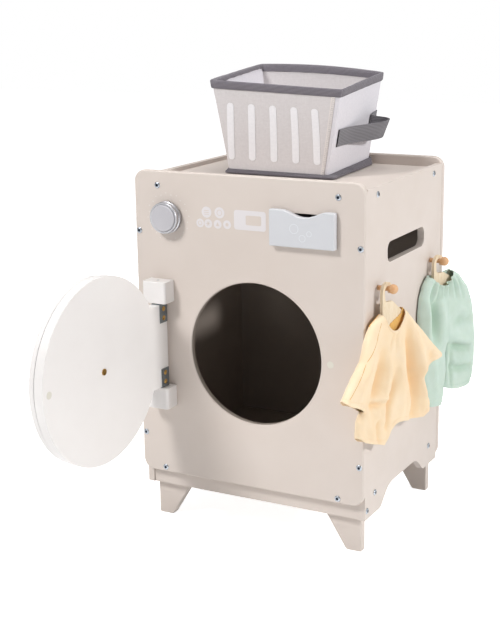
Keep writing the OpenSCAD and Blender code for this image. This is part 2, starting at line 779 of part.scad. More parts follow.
// Closed skin over a grid of rows and columns: outer face, inner face and the rim between
module cloth_solid(left, right, cols, rows, y, turn, flat, centre, count, deep, gather, dip) {
    grid = [for (j = [0:rows], i = [0:cols])
        let (v = j / rows, u = i / cols, l = along_edge(left, v), r = along_edge(right, v),
            p = lerp(l, r, u), edge = sin(180 * u))
        [p[0], p[1] - dip * edge * pow(v, 8) + 4 * edge * pow(1 - v, 6), edge, v]];
    function thick(g) = lerp(1.2, cloth_t / 2, pow(max(0, g[2]), 0.3));
    function pleat(g) = gather * pow(g[3], 5) * cos(36 * (g[0] - centre));
    outer = [for (g = grid) [
        max(cloth_mid(g[0], turn, flat) + fold(g[0], g[1], centre, count, deep) + thick(g) + pleat(g),
            cloth_min_x + 2.4),
        front_y + y + g[0] * cos(turn), peg_z + g[1]
    ]];
    inner = [for (g = grid) [
        max(cloth_mid(g[0], turn, flat) + fold(g[0], g[1], centre, count, deep) - thick(g), cloth_min_x),
        front_y + y + g[0] * cos(turn), peg_z + g[1]
    ]];
    n = (cols + 1) * (rows + 1);
    function at(i, j) = j * (cols + 1) + i;
    quads = [for (j = [0:rows - 1], i = [0:cols - 1])
        [at(i, j), at(i + 1, j), at(i + 1, j + 1), at(i, j + 1)]];
    rim = concat(
        [for (i = [0:cols - 1]) [at(i, 0), at(i + 1, 0)]],
        [for (j = [0:rows - 1]) [at(cols, j), at(cols, j + 1)]],
        [for (i = [cols:-1:1]) [at(i, rows), at(i - 1, rows)]],
        [for (j = [rows:-1:1]) [at(0, j), at(0, j - 1)]]
    );
    faces = concat(
        [for (q = quads) each [[q[0], q[2], q[1]], [q[0], q[3], q[2]]]],
        [for (q = quads) each [[n + q[0], n + q[1], n + q[2]], [n + q[0], n + q[2], n + q[3]]]],
        [for (e = rim) each [[e[0], e[1], n + e[1]], [e[0], n + e[1], n + e[0]]]]
    );
    polyhedron(points = concat(outer, inner), faces = faces, convexity = 8);
}

shirt_left = [
    [-66, -180], [-70, -160], [-70, -143], [-66, -136], [-98, -125], [-105, -119], [-92, -103],
    [-70, -84], [-48, -64], [-28, -46], [-12, -31]
];
shirt_right = [
    [104, -183], [106, -163], [102, -142], [92, -128], [112, -123], [136, -117], [144, -111],
    [118, -87], [92, -65], [66, -46], [42, -33]
];

module shirt() {
    color(shirt_colour) difference() {
        cloth_solid(stretched(shirt_left, shirt_k), stretched(shirt_right, shirt_k), 26, 20,
            peg_front_y, shirt_turn, 34 * shirt_k[0], 14 * shirt_k[0], 9, fold_h, 0, 14 * shirt_k[1]);
        on_peg(peg_front_y, shirt_turn, hanger_t + 2 * soft_gap) hanger_body(shirt_arms, soft_gap);
    }
}

// Trousers: two mirrored legs that meet above the crotch
trouser_mid = 13 * trouser_k[0];
trouser_outer = [
    [73, -184], [78, -165], [80, -140], [79, -115], [75, -90], [69, -65], [58, -44], [42, -28], [25, -18]
];
trouser_inner = [
    [6, -180], [4, -162], [2, -142], [-0.3, -124], [-0.3, -100], [-0.3, -75], [-0.3, -50],
    [-0.3, -32], [-0.3, -19]
];
function shifted(edge, s) = [for (p = stretched(edge, trouser_k, s)) p + [trouser_mid, 0]];

module trousers() {
    color(trouser_colour) difference() {
        union() {
            cloth_solid(shifted(trouser_inner, 1), shifted(trouser_outer, 1), 14, 18,
                peg_rear_y, trouser_turn, 20, trouser_mid, 13, fold_h, 1.2, 0);
            cloth_solid(shifted(trouser_outer, -1), shifted(trouser_inner, -1), 14, 18,
                peg_rear_y, trouser_turn, 20, trouser_mid, 13, fold_h, 1.2, 0);
        }
        on_peg(peg_rear_y, trouser_turn, hanger_t + 2 * soft_gap) hanger_body(trouser_arms, soft_gap);
    }
}

// Basket: walls that lean out, bindings round the rim and the foot, and two webbing handles
module on_top() {
    translate([-basket_x, basket_y, basket_z]) rotate([0, 0, basket_turn]) children();
}

function basket_width(z) = lerp(basket_foot_w, basket_rim_w, z / basket_h);
function basket_depth(z) = lerp(basket_foot_d, basket_rim_d, z / basket_h);

// Block with leaning sides between two heights, grown outwards by out
module leaning(z0, z1, out) {
    ring = function(z) let (w = basket_width(z) / 2 + out, d = basket_depth(z) / 2 + out)
        [[-w, -d, z], [w, -d, z], [w, d, z], [-w, d, z]];
    polyhedron(
        points = concat(ring(z0), ring(z1)),
        faces = [[0, 1, 2, 3], [7, 6, 5, 4], [4, 5, 1, 0], [5, 6, 2, 1], [6, 7, 3, 2], [7, 4, 0, 3]]
    );
}

module basket_body() {
    color(basket_colour) on_top() difference() {
        leaning(0, basket_h, 0);
        leaning(basket_t, basket_h + 1, -basket_t);
    }
}

module basket_rim() {
    color(trim_colour) on_top() difference() {
        leaning(basket_h - rim_h, basket_h + trim_out, trim_out + soft_gap);
        difference() {
            leaning(basket_h - rim_h - 1, basket_h + soft_gap, soft_gap);
            leaning(basket_h - rim_h - 2, basket_h + soft_gap + 1, -basket_t - soft_gap);
        }
        leaning(basket_h - rim_h - 1, basket_h + trim_out + 1, -basket_t - soft_gap - trim_out);
    }
}

module basket_base() {
    color(trim_colour) on_top() difference() {
        leaning(0, base_h, base_out);
        leaning(-1, base_h + 1, soft_gap);
    }
}

// Handle: webbing that leaves the wall, bulges out more and more and turns back at its rear end
strap_steps = 30;
strap_skew = 3;
lean_x = atan((basket_rim_w - basket_foot_w) / 2 / basket_h);
module basket_handle(s) {
    path = [for (i = [0:strap_steps]) let (t = i / strap_steps)
        [strap_out * pow(sin(180 * pow(t, strap_skew)), 0.7), strap_l * (t - 0.5)]];
    outer = [for (p = path) [p[0] + strap_t, p[1] * (1 + strap_t / strap_l)]];
    color(trim_colour) on_top() mirror([s > 0 ? 0 : 1, 0, 0])
        translate([basket_width(strap_z) / 2 + soft_gap, 0, strap_z]) rotate([0, lean_x, 0])
            translate([0, 0, -strap_h / 2]) linear_extrude(strap_h)
                polygon(concat(outer, [for (i = [strap_steps:-1:0]) path[i]]));
}

module basket_handle_left() { basket_handle(-1); }
module basket_handle_right() { basket_handle(1); }

front_panel();
back_panel();
side_panel_left();
side_panel_right();
top_panel();
bottom_panel();
front_rail();
leg_front_left();
leg_front_right();
leg_rear_left();
leg_rear_right();
front_screws();
back_screws();
side_screws_left();
side_screws_right();
hinge_block_upper();
hinge_block_lower();
hinge_pins();
panel_magnet();
dial_axle();
dial_washer();
dial_knob();
dial_cap();
drawer_guide();
drawer_front();
drawer_tray();
door_board();
door_pane();
door_ring();
door_bolt();
door_magnet();
hinge_bracket_upper();
hinge_bracket_lower();
hinge_screws();
peg_front();
peg_rear();
hanger_front();
shirt();
hanger_rear();
trousers();
basket_body();
basket_rim();
basket_base();
basket_handle_left();
basket_handle_right();
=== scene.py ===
# Looks of the toy washing machine: painted boards, metal, prints, cloth basket and doll's clothes
import math
from contextlib import contextmanager

import bmesh
import bpy
import numpy as np
from mathutils import Matrix, Vector


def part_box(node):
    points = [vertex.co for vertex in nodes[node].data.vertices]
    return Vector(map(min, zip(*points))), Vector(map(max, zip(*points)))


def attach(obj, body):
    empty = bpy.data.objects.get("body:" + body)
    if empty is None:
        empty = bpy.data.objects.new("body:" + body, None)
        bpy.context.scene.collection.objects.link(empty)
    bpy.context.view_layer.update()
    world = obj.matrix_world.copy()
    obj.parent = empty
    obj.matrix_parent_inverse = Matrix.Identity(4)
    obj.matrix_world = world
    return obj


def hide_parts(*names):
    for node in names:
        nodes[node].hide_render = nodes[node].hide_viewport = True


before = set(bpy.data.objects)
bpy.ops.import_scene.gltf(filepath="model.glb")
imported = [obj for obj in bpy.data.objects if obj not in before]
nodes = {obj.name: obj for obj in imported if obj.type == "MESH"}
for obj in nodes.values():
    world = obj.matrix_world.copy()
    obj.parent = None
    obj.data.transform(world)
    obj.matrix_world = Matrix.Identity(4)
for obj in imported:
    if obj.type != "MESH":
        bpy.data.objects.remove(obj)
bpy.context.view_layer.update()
scene = bpy.context.scene
MM = 0.001

# Camera: the solved place of the photograph's camera, turned a little about its own axis
CAMERA_AT = Vector((0.7464, -1.5076, 0.6953))
CAMERA_TO = Vector((0.00527, -0.135, 0.30219))
CAMERA_LENS = 74.28
CAMERA_ROLL = math.radians(-0.814)


def loose(name, data):
    """A new object in the scene."""
    obj = bpy.data.objects.new(name, data)
    scene.collection.objects.link(obj)
    return obj


def place_camera():
    data = bpy.data.cameras.new("camera")
    data.lens = CAMERA_LENS
    data.sensor_width = 36
    camera = loose("camera", data)
    ahead = (CAMERA_TO - CAMERA_AT).normalized()
    right = ahead.cross(Vector((0, 0, 1))).normalized()
    up = right.cross(ahead)
    across = right * math.cos(CAMERA_ROLL) + up * math.sin(CAMERA_ROLL)
    upright = across.cross(ahead)
    turn = Matrix((across, upright, -ahead)).transposed().to_4x4()
    camera.matrix_world = Matrix.Translation(CAMERA_AT) @ turn
    scene.camera = camera


place_camera()


# Finishes
WAVE_RUN = 0.314  # the run of one wave, in metres, of a wave texture at scale 1
PICK_PITCH = 0.0011


def rgb(r, g, b):
    """The linear colour of three sRGB values from 0 to 255."""
    parts = [c / 255 for c in (r, g, b)]
    return tuple(c / 12.92 if c < 11 / 255 else ((c + 0.055) / 1.055) ** 2.4 for c in parts) + (1,)


def add_node(tree, kind, inputs=None, **settings):
    """A new node with its settings made and its inputs linked or filled."""
    node = tree.nodes.new(kind)
    for key, value in settings.items():
        setattr(node, key, value)
    for key, value in (inputs or {}).items():
        if isinstance(value, bpy.types.NodeSocket):
            tree.links.new(value, node.inputs[key])
        else:
            node.inputs[key].default_value = value
    return node


class Finish:
    """A material and short calls for the nodes that shape it."""

    def __init__(self, name, colour, roughness, **sockets):
        self.material = bpy.data.materials.new(name)
        self.material.use_nodes = True
        self.tree = self.material.node_tree
        self.shader = self.tree.nodes["Principled BSDF"]
        self.shader.inputs["Base Color"].default_value = colour
        self.shader.inputs["Roughness"].default_value = roughness
        for socket, value in sockets.items():
            self.shader.inputs[socket.replace("_", " ")].default_value = value
        self.material.diffuse_color = colour
        self.surface = None

    def add(self, kind, inputs=None, **settings):
        return add_node(self.tree, kind, inputs, **settings)

    def coords(self, kind="Object", scale=(1, 1, 1), turn=(0, 0, 0)):
        source = self.add("ShaderNodeTexCoord").outputs[kind]
        return self.add("ShaderNodeMapping", {"Vector": source, "Scale": scale, "Rotation": turn}).outputs[0]

    def noise(self, vector, scale, detail=2.0, rough=0.5, warp=0.0):
        return self.add("ShaderNodeTexNoise", {
            "Vector": vector, "Scale": scale, "Detail": detail, "Roughness": rough, "Distortion": warp,
        }).outputs["Fac"]

    def ramp(self, value, *stops):
        node = self.add("ShaderNodeValToRGB", {"Fac": value})
        elements = node.color_ramp.elements
        while len(elements) < len(stops):
            elements.new(0.5)
        for element, (at, colour) in zip(elements, stops):
            element.position = at
            element.color = colour
        return node.outputs["Color"]

    def mapped(self, value, low, high, to_low, to_high):
        return self.add("ShaderNodeMapRange", {
            "Value": value, "From Min": low, "From Max": high, "To Min": to_low, "To Max": to_high,
        }).outputs["Result"]

    def maths(self, operation, a, b=0.0):
        return self.add("ShaderNodeMath", {0: a, 1: b}, operation=operation).outputs[0]

    def colour(self, socket):
        self.tree.links.new(socket, self.shader.inputs["Base Color"])

    def roughness(self, socket):
        self.tree.links.new(socket, self.shader.inputs["Roughness"])

    def relief(self, height, depth, strength=1.0):
        inputs = {"Height": height, "Distance": depth, "Strength": strength}
        if self.surface is not None:
            inputs["Normal"] = self.surface
        self.surface = self.add("ShaderNodeBump", inputs).outputs["Normal"]
        self.tree.links.new(self.surface, self.shader.inputs["Normal"])


def painted(name, colour, dark, roughness=0.5, peel=0.00006):
    """Satin paint on board: faint cloudy tone, roller texture and tiny specks."""
    f = Finish(name, colour, roughness)
    at = f.coords()
    f.colour(f.ramp(f.noise(at, 7, 4, 0.6), (0.3, dark), (0.7, colour)))
    f.roughness(f.mapped(f.noise(at, 40, 2), 0.3, 0.7, roughness - 0.05, roughness + 0.07))
    f.relief(f.noise(at, 420, 3, 0.6), peel, 0.8)
    f.relief(f.noise(at, 60, 2), 0.00012, 0.35)
    return f.material


def metal(name, colour, roughness):
    """Plated metal with fine turning marks and handling smudges."""
    f = Finish(name, colour, roughness, Metallic=1.0)
    at = f.coords()
    f.roughness(f.mapped(f.noise(at, 300, 3), 0.3, 0.7, roughness - 0.08, roughness + 0.12))
    f.colour(f.ramp(f.noise(at, 500, 2), (0.3, tuple(c * 0.85 for c in colour[:3]) + (1,)), (0.7, colour)))
    f.relief(f.noise(f.coords(scale=(1, 1, 12)), 260, 2), 0.00004)
    return f.material


def timber(name, light, dark, along, grain=26.0, roughness=0.45):
    """Fine-grained wood whose grain runs the way that along stretches it."""
    f = Finish(name, light, roughness)
    at = f.coords(scale=along)
    rings = f.noise(at, grain * 8, 5, 0.65, 1.2)
    f.colour(f.ramp(rings, (0.32, dark), (0.62, light)))
    f.roughness(f.mapped(rings, 0.3, 0.7, roughness - 0.05, roughness + 0.1))
    f.relief(f.noise(at, grain * 30, 3), 0.00006)
    return f.material


def cotton(name, light, shade, pitch=0.00055, slub=0.5, puckers=0.00035):
    """Thin plain-weave cotton: crossing yarns, slubs, small puckers and soft light through it; darker in the
    valleys of folds, which is painted shade.
    """
    f = Finish(name, light, 0.9, Sheen_Weight=0.04, Sheen_Roughness=0.5, Specular_IOR_Level=0.12,
               Subsurface_Weight=0.12, Subsurface_Radius=(0.004, 0.003, 0.002), Subsurface_Scale=0.6)
    uv = f.coords("UV")
    wave = {"Vector": uv, "Scale": WAVE_RUN / pitch, "Distortion": 1.5}
    warp = f.add("ShaderNodeTexWave", wave, bands_direction="X")
    weft = f.add("ShaderNodeTexWave", wave, bands_direction="Y")
    yarn = f.maths("MULTIPLY", warp.outputs["Fac"], weft.outputs["Fac"])
    cloud = f.noise(uv, 26, 3, 0.6)
    tone = f.maths("ADD", f.maths("MULTIPLY", yarn, 0.25), cloud)
    # The folded attribute darkens the colour in fold valleys towards a deeper tone: painted shade.
    folded = f.add("ShaderNodeAttribute", attribute_name="folded", attribute_type="GEOMETRY").outputs["Fac"]
    tone = f.maths("SUBTRACT", f.maths("ADD", f.maths("MULTIPLY", tone, 0.35), 0.62), folded)
    fold_valley_shade = tuple(c ** 1.7 for c in shade[:3]) + (1,)
    f.colour(f.ramp(tone, (0.05, fold_valley_shade), (0.72, shade), (0.92, light)))
    f.relief(f.noise(uv, 60, 3, 0.55, 0.4), puckers, slub)
    f.relief(f.noise(f.coords("UV", scale=(1, 7, 1)), 420, 2), 0.0001, slub)
    f.relief(yarn, 0.00012, 0.6)
    return f.material


def felt(name, light, dark):
    """Pressed non-woven cloth with its grid of heat-bonded dimples."""
    f = Finish(name, light, 0.92, Sheen_Weight=0.15, Specular_IOR_Level=0.25)
    uv = f.coords("UV")
    cells = f.add("ShaderNodeTexVoronoi", {"Vector": uv, "Scale": 480.0, "Randomness": 0.25})
    dimple = cells.outputs["Distance"]
    fibre = f.noise(uv, 240, 4, 0.7)
    tone = f.maths("ADD", f.maths("MULTIPLY", dimple, 0.35), f.maths("MULTIPLY", fibre, 0.8))
    f.colour(f.ramp(tone, (0.25, dark), (0.7, light)))
    f.relief(dimple, 0.0002, 0.6)
    f.relief(f.noise(uv, 22, 2), 0.0009, 0.5)
    return f.material


def webbing(name, light, dark, pitch, ridge):
    """Dark ribbed tape: ribs along u, closely woven picks across them."""
    f = Finish(name, light, 0.8, Sheen_Weight=0.2, Specular_IOR_Level=0.3)
    uv = f.coords("UV")
    wave = {"Vector": uv, "Scale": WAVE_RUN / pitch}
    ribs = f.add("ShaderNodeTexWave", wave, bands_direction="Y").outputs["Fac"]
    wave = {"Vector": uv, "Scale": WAVE_RUN / PICK_PITCH, "Distortion": 0.6}
    picks = f.add("ShaderNodeTexWave", wave, bands_direction="X").outputs["Fac"]
    fibre = f.noise(uv, 700, 3, 0.7)
    tone = f.maths("ADD", f.maths("MULTIPLY", ribs, 0.6), f.maths("MULTIPLY", fibre, 0.4))
    f.colour(f.ramp(tone, (0.2, dark), (0.8, light)))
    f.relief(ribs, ridge, 0.8)
    f.relief(picks, 0.00014, 0.7)
    return f.material


BEIGE = rgb(216, 205, 197)
cabinet_paint = painted("cabinet paint", BEIGE, rgb(212, 200, 191))
white_paint = painted("white paint", rgb(239, 236, 234), rgb(234, 230, 228), 0.42)
# A darker paint for the faces inside the cabinet: painted shade.
shaded_inside_paint = painted("painted shade inside", rgb(168, 156, 146), rgb(158, 146, 136), 0.75)
plug_paint = painted("magnet cover", rgb(224, 221, 210), rgb(216, 212, 200), 0.45, 0.00004)
print_ink = painted("print ink", rgb(226, 221, 222), rgb(222, 217, 218), 0.6, 0.00002)
tick_ink = painted("tick ink", rgb(226, 219, 213), rgb(222, 214, 208), 0.6, 0.00002)
bubble_ink = painted("bubble ink", rgb(226, 229, 233), rgb(222, 225, 229), 0.6, 0.00002)
drawer_paint = painted("drawer paint", rgb(211, 212, 216), rgb(206, 207, 211), 0.45)
bracket_steel = metal("bracket zinc", rgb(128, 136, 140), 0.36)
knob_metal = metal("brushed knob", rgb(192, 192, 196), 0.42)
dial_paint = painted("dial paint", rgb(198, 196, 200), rgb(184, 182, 187), 0.38, 0.0001)
steel = metal("zinc steel", rgb(178, 184, 192), 0.3)
shaded_socket_steel = metal("socket painted shade", rgb(52, 60, 72), 0.5)
brass = metal("brass", rgb(204, 164, 96), 0.32)
beech = timber("varnished beech", rgb(224, 180, 136), rgb(206, 152, 104), (1, 1, 1))
plywood = timber("bare plywood", rgb(236, 220, 194), rgb(224, 202, 166), (9, 1, 0.4), roughness=0.6)
shirt_cotton = cotton("shirt cotton", rgb(249, 227, 197), rgb(244, 216, 179))
# Darker orange for the shaded inside of the neck: painted shade.
shaded_neck_cotton = cotton("painted shade neck cotton", rgb(244, 196, 120), rgb(232, 176, 96))
trouser_cotton = cotton("trouser cotton", rgb(211, 227, 217), rgb(192, 212, 197))
basket_felt = felt("basket felt", rgb(216, 211, 211), rgb(205, 199, 199))
basket_white = felt("basket white felt", rgb(226, 223, 228), rgb(214, 211, 217))
bar_print = felt("basket bar print", rgb(240, 238, 240), rgb(230, 228, 231))
basket_seam = felt("basket seam tape", rgb(228, 221, 218), rgb(214, 207, 204))
binding = webbing("basket binding", rgb(140, 135, 142), rgb(88, 83, 90), 0.0016, 0.0002)
foot_binding = webbing("basket foot tape", rgb(122, 117, 124), rgb(74, 69, 76), 0.0016, 0.0002)
strap_web = webbing("handle webbing", rgb(142, 140, 144), rgb(100, 98, 103), 0.0021, 0.0003)
dark_edge = webbing("handle cut end", rgb(48, 46, 50), rgb(30, 28, 32), 0.0012, 0.0002)
thread = cotton("sewing thread", rgb(247, 220, 178), rgb(240, 206, 160), 0.0003)
# Orange thread for the shoulder seam: painted shade along its crease.
shaded_seam_thread = cotton("shoulder seam painted shade", rgb(226, 180, 112), rgb(212, 160, 88), 0.0003)
mint_thread = cotton("mint thread", rgb(190, 216, 200), rgb(176, 204, 188), 0.0003)
grey_thread = cotton("grey thread", rgb(150, 147, 152), rgb(120, 118, 122), 0.0003)


def rubber_finish():
    f = Finish("black rubber", rgb(24, 24, 26), 0.75)
    f.relief(f.noise(f.coords(), 900, 2), 0.00005)
    f.roughness(f.mapped(f.noise(f.coords(), 200, 2), 0.3, 0.7, 0.65, 0.85))
    return f.material


def pane_finish():
    f = Finish("clear pane", rgb(246, 248, 250), 0.06, IOR=1.49, Transmission_Weight=0.9)
    f.relief(f.noise(f.coords(), 30, 2), 0.0001, 0.2)
    return f.material


rubber = rubber_finish()
clear_pane = pane_finish()


# Making pieces
def piece(name, mesh, body, finish=None, stands_for=(), smooth=None):
    """An object at the origin that rides on a body."""
    obj = loose(name, mesh)
    if finish is not None:
        mesh.materials.clear()
        mesh.materials.append(finish)
    if smooth is not None:
        mesh.shade_smooth()
        mesh.set_sharp_from_angle(angle=math.radians(smooth))
    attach(obj, body)
    if stands_for:
        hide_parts(*stands_for)
    return obj


def mesh_of(name, points, faces, uv=None):
    mesh = bpy.data.meshes.new(name)
    mesh.from_pydata([tuple(p) for p in points], [], faces)
    if uv is not None:
        layer = mesh.uv_layers.new(name="UVMap")
        for loop in mesh.loops:
            layer.data[loop.index].uv = uv[loop.vertex_index]
    mesh.validate()
    mesh.update()
    return mesh


def baked(obj):
    """The plain mesh of an object with its modifiers applied; the object goes."""
    bpy.context.view_layer.update()
    made = bpy.data.meshes.new_from_object(obj.evaluated_get(bpy.context.evaluated_depsgraph_get()))
    bpy.data.objects.remove(obj)
    return made


def with_modifiers(mesh, *modifiers):
    obj = loose("work", mesh)
    for kind, settings in modifiers:
        modifier = obj.modifiers.new(kind, kind)
        for key, value in settings.items():
            setattr(modifier, key, value)
    return baked(obj)


def thick(mesh, thickness, offset=0.0, even=False):
    """The mesh with a second skin, grown inwards at -1, outwards at 1 and both ways at 0."""
    settings = {"thickness": thickness, "offset": offset, "use_even_offset": even}
    return with_modifiers(mesh, ("SOLIDIFY", settings))


@contextmanager
def reworked(mesh):
    """Opens a mesh for edits and writes them back."""
    bm = bmesh.new()
    bm.from_mesh(mesh)
    yield bm
    bm.to_mesh(mesh)
    bm.free()


def mesh_from(name, bm):
    bmesh.ops.recalc_face_normals(bm, faces=bm.faces)
    mesh = bpy.data.meshes.new(name)
    bm.to_mesh(mesh)
    bm.free()
    return mesh


def welded(mesh, distance=1e-5):
    with reworked(mesh) as bm:
        bmesh.ops.remove_doubles(bm, verts=bm.verts, dist=distance)
        bmesh.ops.recalc_face_normals(bm, faces=bm.faces)
    return mesh


def grid(rows, columns, start=0):
    """Faces between rows of points; the points are numbered from start."""
    n = columns + 1
    corners = [start + j * n + i for j in range(rows) for i in range(columns)]
    return [(a, a + 1, a + n + 1, a + n) for a in corners]


def eased(name, node, width, finish, body, keep=None, angle=50, cut_at=None):
    """A copy of a CAD board whose edges are eased, as a sanded and painted edge is."""
    mesh = ease_edges(nodes[node].data.copy(), width, keep, angle, cut_at)
    return piece(name, mesh, body, finish, (node,))


def ease_edges(mesh, width, keep=None, angle=50, cut_at=None):
    """Rounds the edges that keep lets through; a cut splits faces at a height."""
    with reworked(mesh) as bm:
        bmesh.ops.remove_doubles(bm, verts=bm.verts, dist=1e-6)
        bmesh.ops.dissolve_limit(bm, angle_limit=math.radians(0.4), verts=bm.verts, edges=bm.edges)
        if cut_at:
            every = list(bm.verts) + list(bm.edges) + list(bm.faces)
            bmesh.ops.bisect_plane(bm, geom=every, dist=1e-6, plane_co=(0, 0, cut_at), plane_no=(0, 0, 1))
        edges = []
        for e in bm.edges:
            if len(e.link_faces) == 2 and e.calc_face_angle(0) > math.radians(angle):
                middle = (e.verts[0].co + e.verts[1].co) / 2
                if keep is None or keep(middle):
                    edges.append(e)
        bmesh.ops.bevel(bm, geom=edges, offset=width, segments=3, profile=0.5, affect="EDGES",
                        clamp_overlap=True)
    mesh.shade_smooth()
    mesh.set_sharp_from_angle(angle=math.radians(40))
    return with_modifiers(mesh, ("WEIGHTED_NORMAL", {"keep_sharp": True, "weight": 100}))


# Boards: places are x and z on the front, y and z on the sides
FRONT_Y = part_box("front_panel")[0].y
BACK_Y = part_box("back_panel")[1].y
SIDE_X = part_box("side_panel_right")[1].x
TOP_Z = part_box("top_panel")[1].z
FRONT_PLACES = [(sx * x, z) for sx in (-1, 1) for x, z in
                ((0.1255, 0.4545), (0.1545, 0.3945), (0.1545, 0.121), (0.1255, 0.0755))]
SIDE_PLACES = [(-0.095, 0.4545), (0.095, 0.4545), (-0.095, 0.0755), (0.095, 0.0755), (-0.120, 0.0595)]
DIAL_AT = (-0.1105, 0.415)
MAGNET_AT = (0.1155, 0.248)
OPENING_AT, OPENING_R = (0.011, 0.248), 0.0925


def off(p, place, reach):
    """Whether a point lies further than reach from a place on the front."""
    return math.hypot(p.x - place[0], p.z - place[1]) > reach


def off_front_screws(p):
    return all(off(p, place, 0.004) for place in FRONT_PLACES)


def front_edges(p):
    drawer_way = 0.042 < p.x < 0.120 and 0.396 < p.z < 0.433
    holes = not off(p, DIAL_AT, 0.006) or not off(p, MAGNET_AT, 0.006)
    return off_front_screws(p) and not (drawer_way or holes)


def side_edges(p):
    hand_slot = abs(p.z - 0.3775) < 0.014 and abs(p.y) < 0.064
    arch = p.z < 0.0712 and abs(p.y) < 0.12
    top = p.z > 0.4635
    return abs(abs(p.x) - 0.1545) > 0.003 and (hand_slot or arch or top)


def block_edges(p):
    return math.hypot(p.x + 0.1218, p.y + 0.1464) > 0.005


for side, keep in (("front", front_edges), ("back", off_front_screws)):
    eased(side + "_board", side + "_panel", 0.0022, cabinet_paint, "cabinet", keep, cut_at=TOP_Z)
for side in ("left", "right"):
    eased("side_board_" + side, "side_panel_" + side, 0.0013, cabinet_paint, "cabinet", side_edges,
          cut_at=TOP_Z)
for place in ("front_left", "front_right", "rear_left", "rear_right"):
    eased("tapered_" + place + "_leg", "leg_" + place, 0.0015, cabinet_paint, "cabinet")
for place in ("upper", "lower"):
    eased("block_" + place, "hinge_block_" + place, 0.0012, white_paint, "cabinet", block_edges)


def drawer_front():
    """The drawer's front board with its wide, soft dip for the fingers."""
    low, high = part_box("drawer_front")
    middle, half, dip = 0.0835, 0.030, 0.0082
    outline = [(low.x, low.z), (high.x, low.z), (high.x, high.z)]
    for i in range(33):
        x = middle + half - 2 * half * i / 32
        outline.append((x, high.z - dip * (0.5 + 0.5 * math.cos(math.pi * (x - middle) / half)) ** 0.85))
    outline.append((low.x, high.z))
    n = len(outline)
    points = [(x, y, z) for y in (low.y, high.y) for x, z in outline]
    faces = [tuple(range(n)), tuple(range(2 * n - 1, n - 1, -1))]
    faces += [(i, n + i, n + (i + 1) % n, (i + 1) % n) for i in range(n)]
    mesh = welded(mesh_of("drawer front", points, faces))
    mesh = ease_edges(mesh, 0.0014, None, 30)
    piece("drawer_face", mesh, "drawer", drawer_paint, ("drawer_front",))


drawer_front()
eased("door_disc", "door_board", 0.0016, white_paint, "door", angle=60)


def door_window():
    """The clear pane, a hair thinner than its seat, so its faces don't coincide with the board's."""
    mesh = welded(nodes["door_pane"].data.copy())
    mesh = with_modifiers(mesh, ("DISPLACE", {"strength": -0.00008, "mid_level": 0.0}))
    imported = mesh.attributes.get("custom_normal")
    if imported:
        mesh.attributes.remove(imported)
    piece("door_window", mesh, "door", clear_pane, ("door_pane",), smooth=30)


door_window()
eased("door_rim", "door_ring", 0.0016, white_paint, "door")

CAD_FINISHES = (
    (cabinet_paint, "top_panel bottom_panel front_rail drawer_guide"),
    (drawer_paint, "drawer_tray"),
    (plug_paint, "panel_magnet door_magnet"),
    (steel, "hinge_pins dial_axle front_screws back_screws side_screws_left side_screws_right"),
    (rubber, "dial_washer"),
    (knob_metal, "dial_knob"),
    (dial_paint, "dial_cap"),
    (brass, "door_bolt hinge_screws"),
    (bracket_steel, "hinge_bracket_upper hinge_bracket_lower"),
    (beech, "peg_front peg_rear"),
    (plywood, "hanger_front hanger_rear"),
)
for finish, names in CAD_FINISHES:
    for node in names.split():
        nodes[node].data.materials.clear()
        nodes[node].data.materials.append(finish)

INSIDE_X, INSIDE_Y, INSIDE_FLOOR, INSIDE_MIDDLE = 0.1502, 0.1262, 0.0705, 0.265


def darken_inside(mesh):
    """Paints shade on the faces that look into the closed cabinet with a darker paint; the cut edge of the
    opening takes the same darker paint.
    """
    mesh.materials.append(shaded_inside_paint)
    for face in mesh.polygons:
        c, n = face.center, face.normal
        inwards = -n.x * c.x - n.y * c.y - n.z * (c.z - INSIDE_MIDDLE)
        near = abs(c.x) < INSIDE_X and abs(c.y) < INSIDE_Y and INSIDE_FLOOR < c.z < TOP_Z
        cut = not off(c, OPENING_AT, OPENING_R) and c.y < -0.12 and abs(n.y) < 0.3
        if cut or near and inwards > 0 and not (n.y < -0.5 and c.y < -0.11):
            face.material_index = len(mesh.materials) - 1


for board in ("front_board", "back_board", "side_board_left", "side_board_right"):
    darken_inside(bpy.data.objects[board].data)
for node in ("top_panel", "bottom_panel"):
    darken_inside(nodes[node].data)


# Geometry Nodes for what repeats
def new_tree(name, sockets):
    tree = bpy.data.node_groups.new(name, "GeometryNodeTree")
    tree.interface.new_socket("Geometry", in_out="INPUT", socket_type="NodeSocketGeometry")
    for label, kind in sockets:
        tree.interface.new_socket(label, in_out="INPUT", socket_type="NodeSocket" + kind)
    tree.interface.new_socket("Geometry", in_out="OUTPUT", socket_type="NodeSocketGeometry")
    return tree, tree.nodes.new("NodeGroupInput").outputs


def end_tree(tree, made, finish):
    """Paints what was made and gives it out."""
    paint = add_node(tree, "GeometryNodeSetMaterial", {"Geometry": made.outputs[0], "Material": finish})
    add_node(tree, "NodeGroupOutput", {0: paint.outputs[0]})
    return tree


